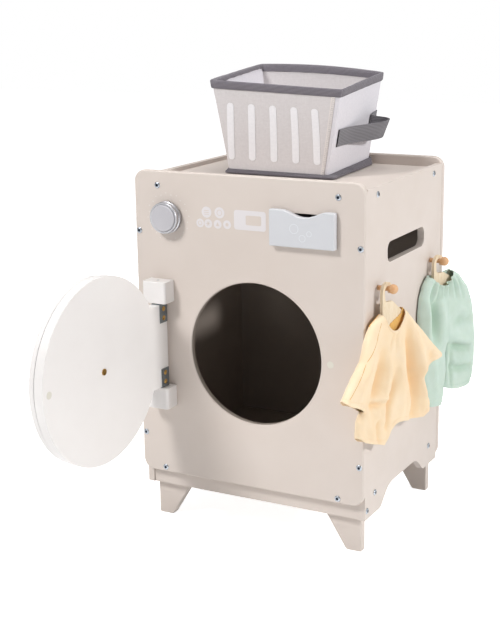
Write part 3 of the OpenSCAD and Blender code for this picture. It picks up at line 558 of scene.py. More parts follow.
def place_tree():
    """Sets a part on each point, its own Z along the point's facing, spun by a seeded amount."""
    tree, given = new_tree("Parts on places", [
        ("Part", "Object"), ("Scale", "Float"), ("Spin", "Float"), ("Seed", "Int"), ("Finish", "Material")])
    part = add_node(tree, "GeometryNodeObjectInfo", {"Object": given["Part"]})
    facing = add_node(tree, "GeometryNodeInputNamedAttribute", {"Name": "facing"}, data_type="FLOAT_VECTOR")
    align = add_node(tree, "FunctionNodeAlignRotationToVector", {
        "Vector": facing.outputs["Attribute"]}, axis="Z")
    spin = add_node(tree, "FunctionNodeRandomValue", {
        3: given["Spin"], "Seed": given["Seed"]}, data_type="FLOAT")
    about = add_node(tree, "ShaderNodeCombineXYZ", {"Z": spin.outputs[1]})
    turn = add_node(tree, "FunctionNodeEulerToRotation", {0: about.outputs[0]})
    both = add_node(tree, "FunctionNodeRotateRotation", {
        "Rotation": align.outputs[0], "Rotate By": turn.outputs[0]}, rotation_space="LOCAL")
    put = add_node(tree, "GeometryNodeInstanceOnPoints", {
        "Points": given["Geometry"], "Instance": part.outputs["Geometry"], "Rotation": both.outputs[0],
        "Scale": given["Scale"]})
    real = add_node(tree, "GeometryNodeRealizeInstances", {0: put.outputs[0]})
    return end_tree(tree, real, given["Finish"])


def run_tree():
    """Sews a run of stitches along each line: a small rounded stitch at every pitch."""
    tree, given = new_tree("Stitches along lines", [
        ("Pitch", "Float"), ("Stitch", "Float"), ("Thickness", "Float"), ("Finish", "Material")])
    curve = add_node(tree, "GeometryNodeMeshToCurve", {0: given["Geometry"]})
    even = add_node(tree, "GeometryNodeResampleCurve", {
        "Curve": curve.outputs[0], "Length": given["Pitch"]}, mode="LENGTH")
    run = add_node(tree, "GeometryNodeInputTangent")
    align = add_node(tree, "FunctionNodeAlignRotationToVector", {"Vector": run.outputs[0]}, axis="X")
    bead = add_node(tree, "GeometryNodeMeshIcoSphere", {"Radius": 0.5, "Subdivisions": 2})
    size = add_node(tree, "ShaderNodeCombineXYZ", {
        "X": given["Stitch"], "Y": given["Thickness"], "Z": given["Thickness"]})
    put = add_node(tree, "GeometryNodeInstanceOnPoints", {
        "Points": even.outputs[0], "Instance": bead.outputs["Mesh"], "Rotation": align.outputs[0],
        "Scale": size.outputs[0]})
    real = add_node(tree, "GeometryNodeRealizeInstances", {0: put.outputs[0]})
    soft = add_node(tree, "GeometryNodeSetShadeSmooth", {0: real.outputs[0]})
    return end_tree(tree, soft, given["Finish"])


PLACES = place_tree()
RUNS = run_tree()


def repeated(mesh, tree, **values):
    """What a tree makes of a mesh of points or lines."""
    obj = loose("work", mesh)
    modifier = obj.modifiers.new("repeat", "NODES")
    modifier.node_group = tree
    ids = {s.name: s.identifier for s in tree.interface.items_tree if s.in_out == "INPUT"}
    for label, value in values.items():
        modifier[ids[label]] = value
    return baked(obj)


def set_on(points, facing, part, finish, scale=1.0, spin=0.0, seed=1):
    """A copy of a part on every point, all with one facing."""
    mesh = bpy.data.meshes.new("places")
    mesh.from_pydata([tuple(p) for p in points], [], [])
    attribute = mesh.attributes.new("facing", "FLOAT_VECTOR", "POINT")
    for item in attribute.data:
        item.vector = facing
    return repeated(mesh, PLACES, Part=part, Scale=scale, Spin=spin, Seed=seed, Finish=finish)


def stitched(lines, finish, pitch, stitch, thickness):
    """Runs of stitches along lines."""
    points, edges = [], []
    for line in lines:
        edges += [(len(points) + i, len(points) + i + 1) for i in range(len(line) - 1)]
        points += [tuple(p) for p in line]
    mesh = bpy.data.meshes.new("lines")
    mesh.from_pydata(points, edges, [])
    return repeated(mesh, RUNS, Pitch=pitch, Stitch=stitch, Thickness=thickness, Finish=finish)


# Prints on the panel and drawer
INK = 0.00012


def flat_shape(name, outlines, y):
    """Ink shapes in the XZ plane, a hair proud of the face at y."""
    bm = bmesh.new()
    for outline in outlines:
        verts = [bm.verts.new((x, y, z)) for x, z in outline]
        face = bm.faces.new(verts)
        face.normal_update()
        if face.normal.y > 0:
            face.normal_flip()
    made = bmesh.ops.extrude_face_region(bm, geom=list(bm.faces))
    moved = [v for v in made["geom"] if isinstance(v, bmesh.types.BMVert)]
    bmesh.ops.translate(bm, verts=moved, vec=(0, -INK, 0))
    return mesh_from(name, bm)


def circle(x, z, r, n=40):
    return [(x + r * math.cos(2 * math.pi * i / n), z + r * math.sin(2 * math.pi * i / n)) for i in range(n)]


def rounded(x0, z0, x1, z1, r, n=8):
    """A rectangle with round corners."""
    out = []
    corners = (x1 - r, z1 - r, 0), (x0 + r, z1 - r, 90), (x0 + r, z0 + r, 180), (x1 - r, z0 + r, 270)
    for cx, cz, start in corners:
        for i in range(n + 1):
            turn = math.radians(start + 90 * i / n)
            out.append((cx + r * math.cos(turn), cz + r * math.sin(turn)))
    return out


def ring(x, z, r, w, n=40):
    """A ring as a strip that meets itself."""
    outer, inner = circle(x, z, r, n), circle(x, z, r - w, n)
    return [[outer[i], outer[(i + 1) % n], inner[(i + 1) % n], inner[i]] for i in range(n)]


PRINT_Y = FRONT_Y - 0.00002
ink_outlines = [circle(x, z, r) for x, z, r in (
    (-0.0543, 0.4248, 0.007), (-0.0358, 0.4252, 0.007), (-0.0637, 0.4105, 0.0055),
    (-0.0521, 0.4105, 0.0055), (-0.0386, 0.4105, 0.0055), (-0.0252, 0.411, 0.0055))]
ink_outlines.append(rounded(-0.0153, 0.406, 0.029, 0.4305, 0.0035))
piece("panel_prints", flat_shape("panel prints", ink_outlines, PRINT_Y), "cabinet", print_ink)

# Signs left open in the prints: display, bars, two rings, a star, an arrow and a dot
glyph_outlines = [rounded(0.0012, 0.4125, 0.0226, 0.4245, 0.002)]
for i in range(3):
    glyph_outlines.append(rounded(-0.0578, 0.4218 + 0.0023 * i, -0.0508, 0.4226 + 0.0023 * i, 0.0003))
glyph_outlines += ring(-0.0358, 0.4252, 0.0038, 0.0008)
glyph_outlines += ring(-0.0637, 0.4105, 0.0029, 0.0008)
for i in range(3):
    turn = math.radians(60 * i)
    dx, dz = 0.003 * math.cos(turn), 0.003 * math.sin(turn)
    ox, oz = -0.0004 * math.sin(turn), 0.0004 * math.cos(turn)
    glyph_outlines.append([(-0.0521 + a * dx + b * ox, 0.4105 + a * dz + b * oz)
                           for a, b in ((-1, -1), (1, -1), (1, 1), (-1, 1))])
arrow = ((-0.9, -0.8), (0.9, -0.8), (0, 1))
glyph_outlines.append([(-0.0386 + 0.0028 * a, 0.4105 + 0.0028 * b) for a, b in arrow])
glyph_outlines.append(circle(-0.0252, 0.411, 0.0022, 24))
piece("print_gaps", flat_shape("print gaps", glyph_outlines, PRINT_Y - INK), "cabinet", cabinet_paint)

DRAWER_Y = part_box("drawer_front")[0].y
bubbles = []
for x, z, r in ((0.0715, 0.4145, 0.0060), (0.0825, 0.4035, 0.0044), (0.0915, 0.4095, 0.0035)):
    bubbles += ring(x, z, r, 0.0007)
piece("drawer_prints", flat_shape("drawer prints", bubbles, DRAWER_Y - 0.00002), "drawer", bubble_ink)


# Turned parts: tick dots round the dial, and a round-headed screw in every hole
def solid_of(name, profile, steps):
    """A turned part about Z from points of radius and height."""
    bm = bmesh.new()
    rings = []
    for r, z in profile:
        turns = [2 * math.pi * i / steps for i in range(steps if r > 1e-6 else 1)]
        rings.append([bm.verts.new((r * math.cos(turn), r * math.sin(turn), z)) for turn in turns])
    for low, high in zip(rings, rings[1:]):
        for i in range(steps):
            j = (i + 1) % steps
            quad = [low[i % len(low)], low[j % len(low)], high[j % len(high)], high[i % len(high)]]
            face = list(dict.fromkeys(quad))
            if len(face) > 2:
                bm.faces.new(face)
    return loose(name, mesh_from(name, bm))


dot = solid_of("dot", [(0, 0), (1, 0), (1, 0.1), (0, 0.1)], 16)
ticks = []
for i in range(24):
    turn = math.radians(15 * i + 5)
    radius = 0.0285 if i % 2 else 0.0305
    ticks.append((DIAL_AT[0] + radius * math.cos(turn), PRINT_Y, DIAL_AT[1] + radius * math.sin(turn)))
piece("dial_ticks", set_on(ticks, (0, -1, 0), dot, tick_ink, 0.0009), "cabinet")


# A domed head with a recess for the key, and a six-sided cup lining its socket, dark with painted shade
head = solid_of("head", [
    (0.0039, 0.0), (0.004, 0.00025), (0.0038, 0.0007), (0.0033, 0.0011), (0.0026, 0.00138),
    (0.0021, 0.00145), (0.00195, 0.0014), (0.00185, 0.0005), (0, 0.00045)], 24)
recess = solid_of("recess", [(0.0018, 0.0013), (0.00175, 0.00052), (0, 0.0005)], 6)
SCREW_ROWS = {
    "front": ([(x, FRONT_Y, z) for x, z in FRONT_PLACES], (0, -1, 0), "front_screws"),
    "back": ([(x, BACK_Y, z) for x, z in FRONT_PLACES], (0, 1, 0), "back_screws"),
    "left": ([(-SIDE_X, y, z) for y, z in SIDE_PLACES], (-1, 0, 0), "side_screws_left"),
    "right": ([(SIDE_X, y, z) for y, z in SIDE_PLACES], (1, 0, 0), "side_screws_right"),
}
for row, (places, facing, node) in SCREW_ROWS.items():
    heads = set_on(places, facing, head, steel, 1.0, math.tau, 5)
    piece("screw_heads_" + row, heads, "cabinet", stands_for=(node,), smooth=45)
    # The socket lining is dark steel: painted shade in the recess.
    sockets = set_on(places, facing, recess, shaded_socket_steel, 1.0, math.tau, 5)
    piece("screw_sockets_" + row, sockets, "cabinet")
for work in (dot, head, recess):
    bpy.data.objects.remove(work)


# Basket: corners of the walls at foot and rim are front left, front right, back right, back left
BASKET_FEET = [Vector(p) for p in ((-0.0794, -0.0324, 0.4596), (0.0645, -0.0338, 0.4596),
                                   (0.0587, 0.1135, 0.4596), (-0.0920, 0.1120, 0.4596))]
BASKET_TOPS = [Vector(p) for p in ((-0.0977, -0.0433, 0.5795), (0.0898, -0.0466, 0.5717),
                                   (0.0751, 0.1221, 0.5823), (-0.1124, 0.1254, 0.5901))]
BASKET_HIGH = 0.121
WALL = 0.0022
SAG, BULGE_Y, BULGE_Z = -0.0022, (0.0, 0.0006, 0.003, 0.0004), (0.0, 0.0, 0.0032, 0.0006)


def side_facing(side):
    edge = BASKET_FEET[(side + 1) % 4] - BASKET_FEET[side]
    return Vector((edge.y, -edge.x, 0)).normalized()


FACINGS = [side_facing(side) for side in range(4)]


def wall_point(side, t, v, out=0.0):
    """A point on side 0 front, 1 right, 2 back or 3 left: t along it, v from foot to rim, out from it."""
    a, b = side, (side + 1) % 4
    grown = [row[k] + (FACINGS[k - 1] + FACINGS[k]) * out
             for row in (BASKET_FEET, BASKET_TOPS) for k in (a, b)]
    point = grown[0].lerp(grown[1], t).lerp(grown[2].lerp(grown[3], t), v)
    length = (BASKET_FEET[b] - BASKET_FEET[a]).length
    corner = math.exp(-(min(t, 1 - t) * length / 0.0045) ** 2)
    middle = math.sin(math.pi * min(1, max(0, t)))
    sag = SAG * middle * math.sin(math.pi * min(1, max(0, v * 0.85)))
    point += FACINGS[side] * (sag + BULGE_Y[side] * middle * max(0, v) ** 3)
    point += Vector((0, 0, BULGE_Z[side] * middle * max(0, v) ** 4))
    return point + (FACINGS[side] + FACINGS[side - 1 if t < 0.5 else b]) * -0.0014 * corner


def eased_steps(n):
    return [0.5 - 0.5 * math.cos(math.pi * i / n) for i in range(n + 1)]


def wall_patch(side, out, ts, vs):
    points = [wall_point(side, t, v, out) for v in vs for t in ts]
    uv = [(t * 0.16 + side * 0.2, v * 0.12) for v in vs for t in ts]
    return points, grid(len(vs) - 1, len(ts) - 1), uv


def joined(name, parts):
    points, faces, uv = [], [], []
    for p, f, u in parts:
        faces += [tuple(k + len(points) for k in face) for face in f]
        points += p
        uv += u
    return mesh_of(name, points, faces, uv)


def make_basket_shell():
    vs = [j / 18 for j in range(19)]
    floor = [wall_point(side, 0.0, 0.012, -0.0006) for side in range(4)]
    parts = [wall_patch(side, 0.0, eased_steps(26), vs) for side in range(4)]
    parts.append((floor, [(3, 2, 1, 0)], [(0, 0), (0.15, 0), (0.15, 0.15), (0, 0.15)]))
    shell = thick(welded(joined("basket shell", parts)), WALL, -1.0, True)
    for finish in (basket_felt, basket_white):
        shell.materials.append(finish)
    seam = wall_point(0, 0.964, 0.5).x
    for face in shell.polygons:
        front = abs(face.normal.dot(FACINGS[0])) > 0.75
        wrap = front and face.center.y < 0.0 and face.center.x > seam + 0.17 * (face.center.z - 0.52)
        face.material_index = 0 if (front or abs(face.normal.z) > 0.8) and not wrap else 1
    piece("basket_shell", shell, "basket", None, ("basket_body",), smooth=45)


make_basket_shell()

# White bars printed on the front wall: places along the wall at the top and at the foot
BAR_TOPS, BAR_FEET = (0.133, 0.304, 0.476, 0.645, 0.810), (0.061, 0.265, 0.474, 0.683, 0.884)
BAR_LOW, BAR_HIGH, BAR_WIDTH = 0.150, 0.775, 0.0098


def bar_patch(top, foot, seed):
    rows, columns, points, uv = 30, 6, [], []
    length = (BAR_HIGH - BAR_LOW) * BASKET_HIGH
    for j in range(rows + 1):
        f = (1 - math.cos(math.pi * j / rows)) / 2
        rise = min(f, 1 - f) * length
        half = BAR_WIDTH / 2
        if rise < half:
            half = math.sqrt(max(0, half ** 2 - (half - rise) ** 2)) + 0.0002
        v = BAR_LOW + (BAR_HIGH - BAR_LOW) * f
        wide = 0.144 + 0.0436 * v
        for i in range(columns + 1):
            x = -half + 2 * half * i / columns
            points.append(wall_point(0, foot + (top - foot) * f + x / wide, v, 0.00022))
            uv.append((x + 0.03 * seed, f * length))
    return points, grid(rows, columns), uv


bars = [bar_patch(top, foot, k) for k, (top, foot) in enumerate(zip(BAR_TOPS, BAR_FEET))]
bars = thick(joined("basket bars", bars), 0.00022, 1.0, True)
piece("basket_bars", bars, "basket", bar_print, smooth=40)
tape = wall_patch(0, 0.0004, [0.930 + 0.030 * i / 4 for i in range(5)],
                  [0.03 + 0.89 * j / 24 for j in range(25)])
tape = thick(joined("corner seam", [tape]), 0.0005, 1.0, True)
piece("basket_corner_seam", tape, "basket", basket_seam, smooth=40)


def swept(name, rows, closed, finish, stands_for=(), smooth=60):
    """A trim of the basket: skin over a run of closed sections, each a list of points."""
    points, uv, faces = [], [], []
    k = len(rows[0])
    run = 0.0
    for i, row in enumerate(rows):
        run += (row[0] - rows[i - 1][0]).length if i else 0.0
        across = 0.0
        for j, p in enumerate(row):
            across += (p - row[j - 1]).length if j else 0.0
            points.append(p)
            uv.append((run, across))
    for i in range(len(rows) if closed else len(rows) - 1):
        a, b = i * k, ((i + 1) % len(rows)) * k
        faces += [(a + j, b + j, b + (j + 1) % k, a + (j + 1) % k) for j in range(k)]
    if not closed:
        faces += [tuple(range(k - 1, -1, -1)), tuple((len(rows) - 1) * k + j for j in range(k))]
    mesh = welded(mesh_of(name, points, faces, uv), 1e-6)
    piece(name.replace(" ", "_"), mesh, "basket", finish, stands_for, smooth=smooth)


# Binding round the rim, folded over the edge: each place is a share of the height and a way out
RIM = 0.0098 / BASKET_HIGH
RIM_SECTION = [
    (1 - RIM, 0.0002), (1 - RIM, 0.0011), (1 - RIM * 0.7, 0.0015), (1 - RIM * 0.35, 0.0014), (0.995, 0.0013),
    (1.006, 0.0006), (1.008, -0.0009), (1.004, -0.0027), (0.985, -0.0034), (1 - RIM * 0.6, -0.0035),
    (1 - RIM, -0.0032), (1 - RIM, -0.0024)]
INNER_SHARE = (0.9, 0.5, 0.85, 0.45)


def rim_row(side, t):
    lap = 0.0007 if side == 3 and t > 0.72 else 0.0
    wave = 0.00025 * math.sin(190 * t + side)
    row = []
    for v, out in RIM_SECTION:
        if out <= -0.002 and v <= 1:
            v = 1 - (1 - v) * INNER_SHARE[side]
        row.append(wall_point(side, t, v, out + (lap + wave) * (1 if out > 0 else -1)))
    return row


rim_rows = [rim_row(side, t) for side in range(4) for t in eased_steps(36)[:-1]]
swept("basket rim binding", rim_rows, True, binding, ("basket_rim",))

# Binding round the foot: a folded tape that stands out over the board
FLANGE_Z, FLANGE_ROUND = 0.4597, 0.009
FLANGE = [Vector((x, y, FLANGE_Z)) for x, y in (
    (-0.0820, -0.0372), (0.0757, -0.0402), (0.0632, 0.1148), (-0.0940, 0.1160))]
FLANGE_UP = (0.0058, 0.0052, 0.0105, 0.0075)


def raised(z):
    """A step straight up."""
    return Vector((0, 0, z))


def flange_rows():
    rows = []
    for side in range(4):
        a, b = side, (side + 1) % 4
        before, after = FLANGE[a - 1], FLANGE[(side + 2) % 4]
        reach = FLANGE_ROUND / (FLANGE[b] - FLANGE[a]).length
        steps = [reach * i / 4 * 0.999 for i in range(4)]
        steps += [reach + (1 - 2 * reach) * i / 24 for i in range(25)]
        steps += [1 - reach + reach * i / 4 for i in range(1, 4)]
        for t in steps:
            rim = FLANGE[a].lerp(FLANGE[b], t)
            near = min(t, 1 - t) / reach
            if near < 1:
                corner, beyond = (FLANGE[a], before) if t < 0.5 else (FLANGE[b], after)
                pull = (beyond - corner).normalized() * FLANGE_ROUND * 0.25
                rim = rim + pull * (1 - near) ** 2
            up = FLANGE_UP[a] + (FLANGE_UP[b] - FLANGE_UP[a]) * t
            lap = 0.0011 if side == 1 and t > 0.43 else 0.0
            over = wall_point(side, t, up / BASKET_HIGH, 0.0008 + lap)
            foot = wall_point(side, t, 0.001, 0.0001)
            foot.z = FLANGE_Z
            edge = rim + FACINGS[side] * lap
            rows.append([
                over, over + FACINGS[side] * 0.0009 - raised(0.0004),
                over.lerp(edge, 0.55) + raised(0.0012 + lap) + FACINGS[side] * 0.0005,
                edge + raised(0.0031 + lap), edge + FACINGS[side] * 0.0009 + raised(0.0016), edge, foot])
    return rows


swept("basket foot binding", flange_rows(), True, foot_binding, ("basket_base",), 50)


# Handles: ribbed webbing, flat on the wall at both ends, bulging to the rear and folding back
# Rows hold the place along the wall, how far out, and the height of its middle over the foot, in mm
STRAP_PATH = [
    (0.085, 0.9, 54), (0.16, 0.9, 53.5), (0.235, 1.2, 53), (0.33, 2.2, 52.5), (0.43, 5.5, 52),
    (0.53, 11, 51.5), (0.63, 17.5, 51.5), (0.71, 22.8, 51.5), (0.77, 25.6, 52),
    (0.815, 26.0, 52.5), (0.848, 23.5, 53.5),
    (0.856, 18.5, 54.5), (0.845, 12, 55.5), (0.83, 6, 56.5), (0.832, 2.4, 57.5), (0.86, 1.2, 59),
    (0.91, 0.9, 60), (0.985, 0.9, 61)]
STRAP_WIDE, STRAP_THICK, STRAP_RIBS = 0.0238, 0.0015, 11


def curve_through(rows, each=7):
    """Smooth run of values through the given rows."""
    out = []
    for i in range(len(rows) - 1):
        p0, p1, p2, p3 = (rows[max(0, min(len(rows) - 1, i + k))] for k in (-1, 0, 1, 2))
        for j in range(each):
            f = j / each
            out.append(tuple(
                0.5 * (2 * b + (c - a) * f + (2 * a - 5 * b + 4 * c - d) * f * f
                       + (3 * b - a - 3 * c + d) * f ** 3)
                for a, b, c, d in zip(p0, p1, p2, p3)))
    return out + [rows[-1]]


def strap(side, name, node):
    path = curve_through(STRAP_PATH)

    def centre(i, h):
        t, out, up = path[max(0, min(len(path) - 1, i))]
        v = (up * MM + h * STRAP_WIDE) / BASKET_HIGH
        twist = 0.22 * h * out
        return wall_point(side, t if side == 1 else 1 - t, v, 0.0) + FACINGS[side] * (out + twist) * MM

    rows = []
    for i in range(len(path)):
        run = (centre(i + 1, 0) - centre(i - 1, 0)).normalized()
        away = Vector((run.y, -run.x, 0)).normalized() * (1 if side == 1 else -1)
        outer = [centre(i, k / (STRAP_RIBS * 2) - 0.5) + away * STRAP_THICK * (0.5 + 0.22 * (k % 2))
                 for k in range(STRAP_RIBS * 2 + 1)]
        inner = [centre(i, 0.5 - k / 8) - away * STRAP_THICK * 0.5 for k in range(9)]
        rows.append(outer + inner)
    swept(name, rows, False, strap_web, (node,), 48)
    cut = [[p + (rows[0][0] - rows[1][0]).normalized() * d for p in rows[0]] for d in (0.0, 0.0007)]
    swept(name + " cut end", cut, False, dark_edge)


strap(1, "right webbing handle", "basket_handle_right")
strap(3, "left webbing handle", "basket_handle_left")
seams = [[wall_point(side, i / 40, 1 - RIM * 0.86, 0.0016) for i in range(41)] for side in range(4)]
seams += [[wall_point(0, t, 0.05 + 0.85 * j / 30, 0.0010) for j in range(31)] for t in (0.94, 0.95)]
piece("basket_stitches", stitched(seams, grey_thread, 0.0024, 0.0015, 0.0003), "basket")


# Doll's clothes: lines hold places along the hanger and up, in mm from the peg
PEG_Z = 0.340
HANGER_X = 0.170
CLOTH_LEAST_X = 0.1612
CLOTH_THICK = 0.0007
# Above this share the rear sheet's inside gets a darker orange, painted shade.
NECK_SHARE = 0.86  # the share of the height from which the rear sheet shows its inside


class Hung:
    """The frame of a garment: s runs along its hanger from the peg, z up and n out from the panel, in mm."""

    def __init__(self, y, turn, flat):
        self.y, self.turn, self.flat = y, math.radians(turn), flat

    def at(self, s, z, n, least=0.0):
        if s < self.flat:
            n += (self.flat - s) * 0.85 * math.sin(self.turn)
        c, k = math.cos(self.turn), math.sin(self.turn)
        x = max(HANGER_X + (n * c + s * k) * MM, CLOTH_LEAST_X + least * MM)
        return Vector((x, self.y + (s * c - n * k) * MM, PEG_Z + z * MM))


def nearest(line, s, z):
    """Distance of a place to a line of places and how far along it the nearest one lies."""
    best, where = 1e9, 0.0
    for i, ((s0, z0), (s1, z1)) in enumerate(zip(line, line[1:])):
        ds, dz = s1 - s0, z1 - z0
        t = max(0, min(1, ((s - s0) * ds + (z - z0) * dz) / (ds * ds + dz * dz + 1e-9)))
        d = math.hypot(s - s0 - ds * t, z - z0 - dz * t)
        if d < best:
            best, where = d, (i + t) / (len(line) - 1)
    return best, where


def along(edge, v):
    k = v * (len(edge) - 1)
    i = min(int(k), len(edge) - 2)
    f = k - i
    return tuple(a + (b - a) * f for a, b in zip(edge[i], edge[i + 1]))


def lifted(line, rise, shift=0.0):
    """A line of places moved up and along."""
    return [(s + shift, z + rise) for s, z in line]


class Garment:
    """Front and back sheets between a left and a right edge, with folds, hems and open ends."""

    waist, waist_share = 0.0, 0.94
    hem_share, hem_width, hem_fade = 0.35, 5.2, 0.9
    swell_reach, fold_reach, off_reach = 10, 12, 6
    ripple = 0.25

    def __init__(self, hung, left, right, shut, folds, hems, hem_line, dips=(0, 0), body=4.2, columns=120,
                 rows=96, drape=1.55):
        self.hung, self.left, self.right, self.shut = hung, left, right, shut
        self.folds, self.hems, self.hem_line, self.dips, self.body = folds, hems, hem_line, dips, body
        self.columns, self.rows, self.drape, self.seams = columns, rows, drape, []

    def place(self, u, v, back):
        l, r = along(self.left, v), along(self.right, v)
        s, z = l[0] + (r[0] - l[0]) * u, l[1] + (r[1] - l[1]) * u
        z -= self.dips[back] * math.sin(math.pi * u) ** 0.7 * v ** 3
        if v < self.hem_share:
            low = np.interp(s, [p[0] for p in self.hem_line], [p[1] for p in self.hem_line])
            z += (low - z) * (1 - v / self.hem_share) ** 2
        return s, z

    def depth(self, s, z, back):
        return self.depth_and_fold(s, z, back)[0]

    def depth_and_fold(self, s, z, back):
        edge = min(nearest(line, s, z)[0] for line in self.shut)
        swell = math.sqrt(max(0.0, 1 - (1 - min(1, edge / self.swell_reach)) ** 2))
        fold = 0.0
        for line, width, height in self.folds:
            d, where = nearest(line, s, z)
            if d < 3.5 * width:
                grown = min(1, 0.35 + 1.8 * where) * (1 - 0.5 * max(0, where - 0.6) / 0.4)
                fold += height * grown * math.exp(-(d / (1.15 * width)) ** 2)
        fold *= self.drape * min(1, edge / self.fold_reach)
        n = swell * (-self.body if back else self.body * 1.8) + fold * (0.25 if back else 1)
        # The second value is the painted shade of fold valleys, growing as the fold sinks.
        return n, max(0.0, min(0.55, -fold * 0.048)), min(1.0, edge / self.off_reach)

    def hem(self, s, z):
        d = min(nearest(line, s, z)[0] for line in self.hems)
        return 0.55 * (1 - max(0, min(1, (d - self.hem_width) / self.hem_fade)))

    def at_seam(self, u, v):
        return any(u == side and a - 1e-6 <= v <= b + 1e-6 for side, a, b in self.seams)

    def edge(self, u, v0, v1):
        return [self.place(u, v0 + (v1 - v0) * i / 16, 0) for i in range(17)]

    def point(self, u, v, back):
        """A place of the cloth, its place on the flat and how much painted shade its fold valley gets."""
        s, z = self.place(u, v, back)
        n, fold, off_seam = self.depth_and_fold(s, z, back)
        way = -1 if back else 1
        n += self.hem(s, z) * way
        if v > self.waist_share:
            n += self.waist * way
        if self.at_seam(u, v):
            n = off_seam = 0.0
        n += self.ripple * math.sin(0.31 * s + 0.17 * z) * math.sin(0.11 * s - 0.23 * z)
        return self.hung.at(s, z, n, 0.0 if back else 1.4 * off_seam), (s * MM + 0.4 * back, z * MM), fold

    def on_front(self, line, out):
        """Places of a line of s and z on the front sheet."""
        dense = [along(line, i / 60) for i in range(61)]
        return [self.hung.at(s, z, self.depth(s, z, 0) + self.hem(s, z) + 0.35 + out, 1.7) for s, z in dense]


class Leg(Garment):
    """One leg of the trousers; the front of the waist hangs lower between the sides."""

    waist = 0.5
    ripple = 0.0

    def place(self, u, v, back):
        s, z = super().place(u, v, back)
        across = max(0.0, min(1.0, (s + 24) / 56))
        return s, z - (12.0, 0.0)[back] * math.sin(math.pi * across) ** 0.8 * v ** 6


def sewn(name, garments, body, finishes, node):
    """One cloth of all front and rear sheets, which keeps for each place the painted shade of its fold
    valley.
    """
    points, uv, faces, picks, folds = [], [], [], [], []
    for garment in garments:
        columns, rows = garment.columns, garment.rows
        for back in (0, 1):
            sheet = grid(rows, columns, len(points))
            faces += [face[::-1] for face in sheet] if back else sheet
            for j in range(rows):
                # Rear faces high at the neck take the second finish, the painted shade of the neck's inside.
                neck = len(finishes) > 1 and back and j > rows * NECK_SHARE
                picks += [int(neck)] * columns
            for j in range(rows + 1):
                for i in range(columns + 1):
                    place, flat, fold = garment.point(i / columns, j / rows, back)
                    points.append(place)
                    uv.append(flat)
                    folds.append(fold)
    mesh = mesh_of(name, points, faces, uv)
    mesh.attributes.new("folded", "FLOAT", "POINT").data.foreach_set("value", folds)
    for finish in finishes:
        mesh.materials.append(finish)
    for face, pick in zip(mesh.polygons, picks):
        face.material_index = pick
    with reworked(mesh) as bm:
        bmesh.ops.remove_doubles(bm, verts=bm.verts, dist=0.0004)
    return piece(name.replace(" ", "_"), thick(mesh, CLOTH_THICK), body, None, (node,), smooth=70)


SHIRT_HUNG = Hung(FRONT_Y + 0.043, 7, -34)
TROUSER_HUNG = Hung(FRONT_Y + 0.222, 12, -400)

shirt_left = [(-77, -168), (-78, -151), (-77, -138), (-66, -133), (-89, -125), (-109, -118), (-118, -111),
              (-106, -101), (-90, -89), (-67, -76), (-55, -54), (-44, -41), (-29, -34), (-15, -29)]
shirt_right = [(110, -178), (112, -156), (101, -142), (89, -126), (100, -120), (119, -118), (143, -117),
               (143, -113), (124, -99), (107, -86), (87, -69), (70, -56), (47, -37), (38, -31)]
shirt_hem = [(-77, -168), (-66, -176), (-36, -187), (-14, -195), (-6, -189), (2, -181), (12, -176),
             (24, -175), (40, -178), (61, -182), (86, -186), (102, -184), (110, -178)]
# Folds: a line, its width and its height, both in mm
shirt_folds = [
    ([(49, -58), (51, -77), (56, -104), (65, -133), (68, -154), (61, -172)], 10, -7.5),
    ([(20, -62), (25, -89), (28, -129), (30, -165)], 9, 3.5),
    ([(56, -60), (70, -90), (81, -121), (87, -151), (88, -172)], 8, 5.5),
    ([(-19, -80), (-22, -97), (-36, -119), (-46, -132)], 8, -5.5),
    ([(-4, -82), (-5, -101), (-14, -124), (-19, -140)], 6, 3.2),
    ([(15, -108), (8, -131), (-2, -147), (-8, -172)], 4.5, -5.0),
    ([(-40, -58), (-58, -84), (-84, -112)], 9, 3.4),
    ([(-52, -127), (-32, -131), (-12, -134)], 3.5, 3.0),
    ([(-52, -133), (-32, -138), (-12, -142)], 3.5, -3.2),
    ([(-40, -141), (-34, -150), (-18, -162)], 5, 2.6),
    ([(-60, -150), (-50, -170), (-40, -186)], 6, 2.2),
    ([(-24, -148), (-30, -165), (-28, -188)], 4, -2.4),
    ([(45, -140), (46, -160), (44, -178)], 6, 2.2),
    ([(100, -98), (108, -108), (112, -118)], 6, -1.8),
    ([(86, -80), (104, -96), (126, -112)], 6, 1.6),
    ([(8, -58), (2, -66), (-2, -76)], 2.2, -1.3),
    ([(14, -58), (12, -68), (11, -80)], 2.2, -1.2),
]
sleeve_left = [(-66, -133), (-89, -125), (-109, -118), (-118, -111)]
sleeve_right = [(89, -126), (100, -120), (119, -118), (143, -117)]
shirt = Garment(SHIRT_HUNG, shirt_left, shirt_right, [], shirt_folds, [shirt_hem, sleeve_left, sleeve_right],
                shirt_hem, (24.0, 7.0))
shirt.seams = [(u, *span) for u in (0, 1) for span in ((0, 3 / 13), (6 / 13, 1))]
shirt.shut = [shirt.edge(*seam) for seam in shirt.seams]
cloth = sewn("cotton shirt", [shirt], "shirt_hanger", (shirt_cotton, shaded_neck_cotton), "shirt")

shoulder_seam = [(-24, -38), (-37, -54), (-52, -67), (-67, -80), (-78, -89), (-89, -97), (-108, -109)]
right_seam = [(44, -40), (62, -64), (78, -92), (87, -122)]
neck_edge = lifted([shirt.place(i / 40, 1.0, 0) for i in range(1, 40)], -3.0)
shirt_lines = [shirt.on_front(line, 0.0) for line in (
    lifted(shirt_hem[1:-1], 5.5), lifted(sleeve_left, 5.5, 1.5), lifted(sleeve_right, 5.5, -2), right_seam)]
piece("shirt_stitches", stitched(shirt_lines, thread, 0.0022, 0.0016, 0.00035), "shirt_hanger")
# The shoulder seam is a thin ridge in the orange of painted shade.
seam_lines = [shirt.on_front(shoulder_seam, -0.15)]
piece("shirt_shoulder_seam", stitched(seam_lines, shaded_seam_thread, 0.0012, 0.0019, 0.0009), "shirt_hanger")


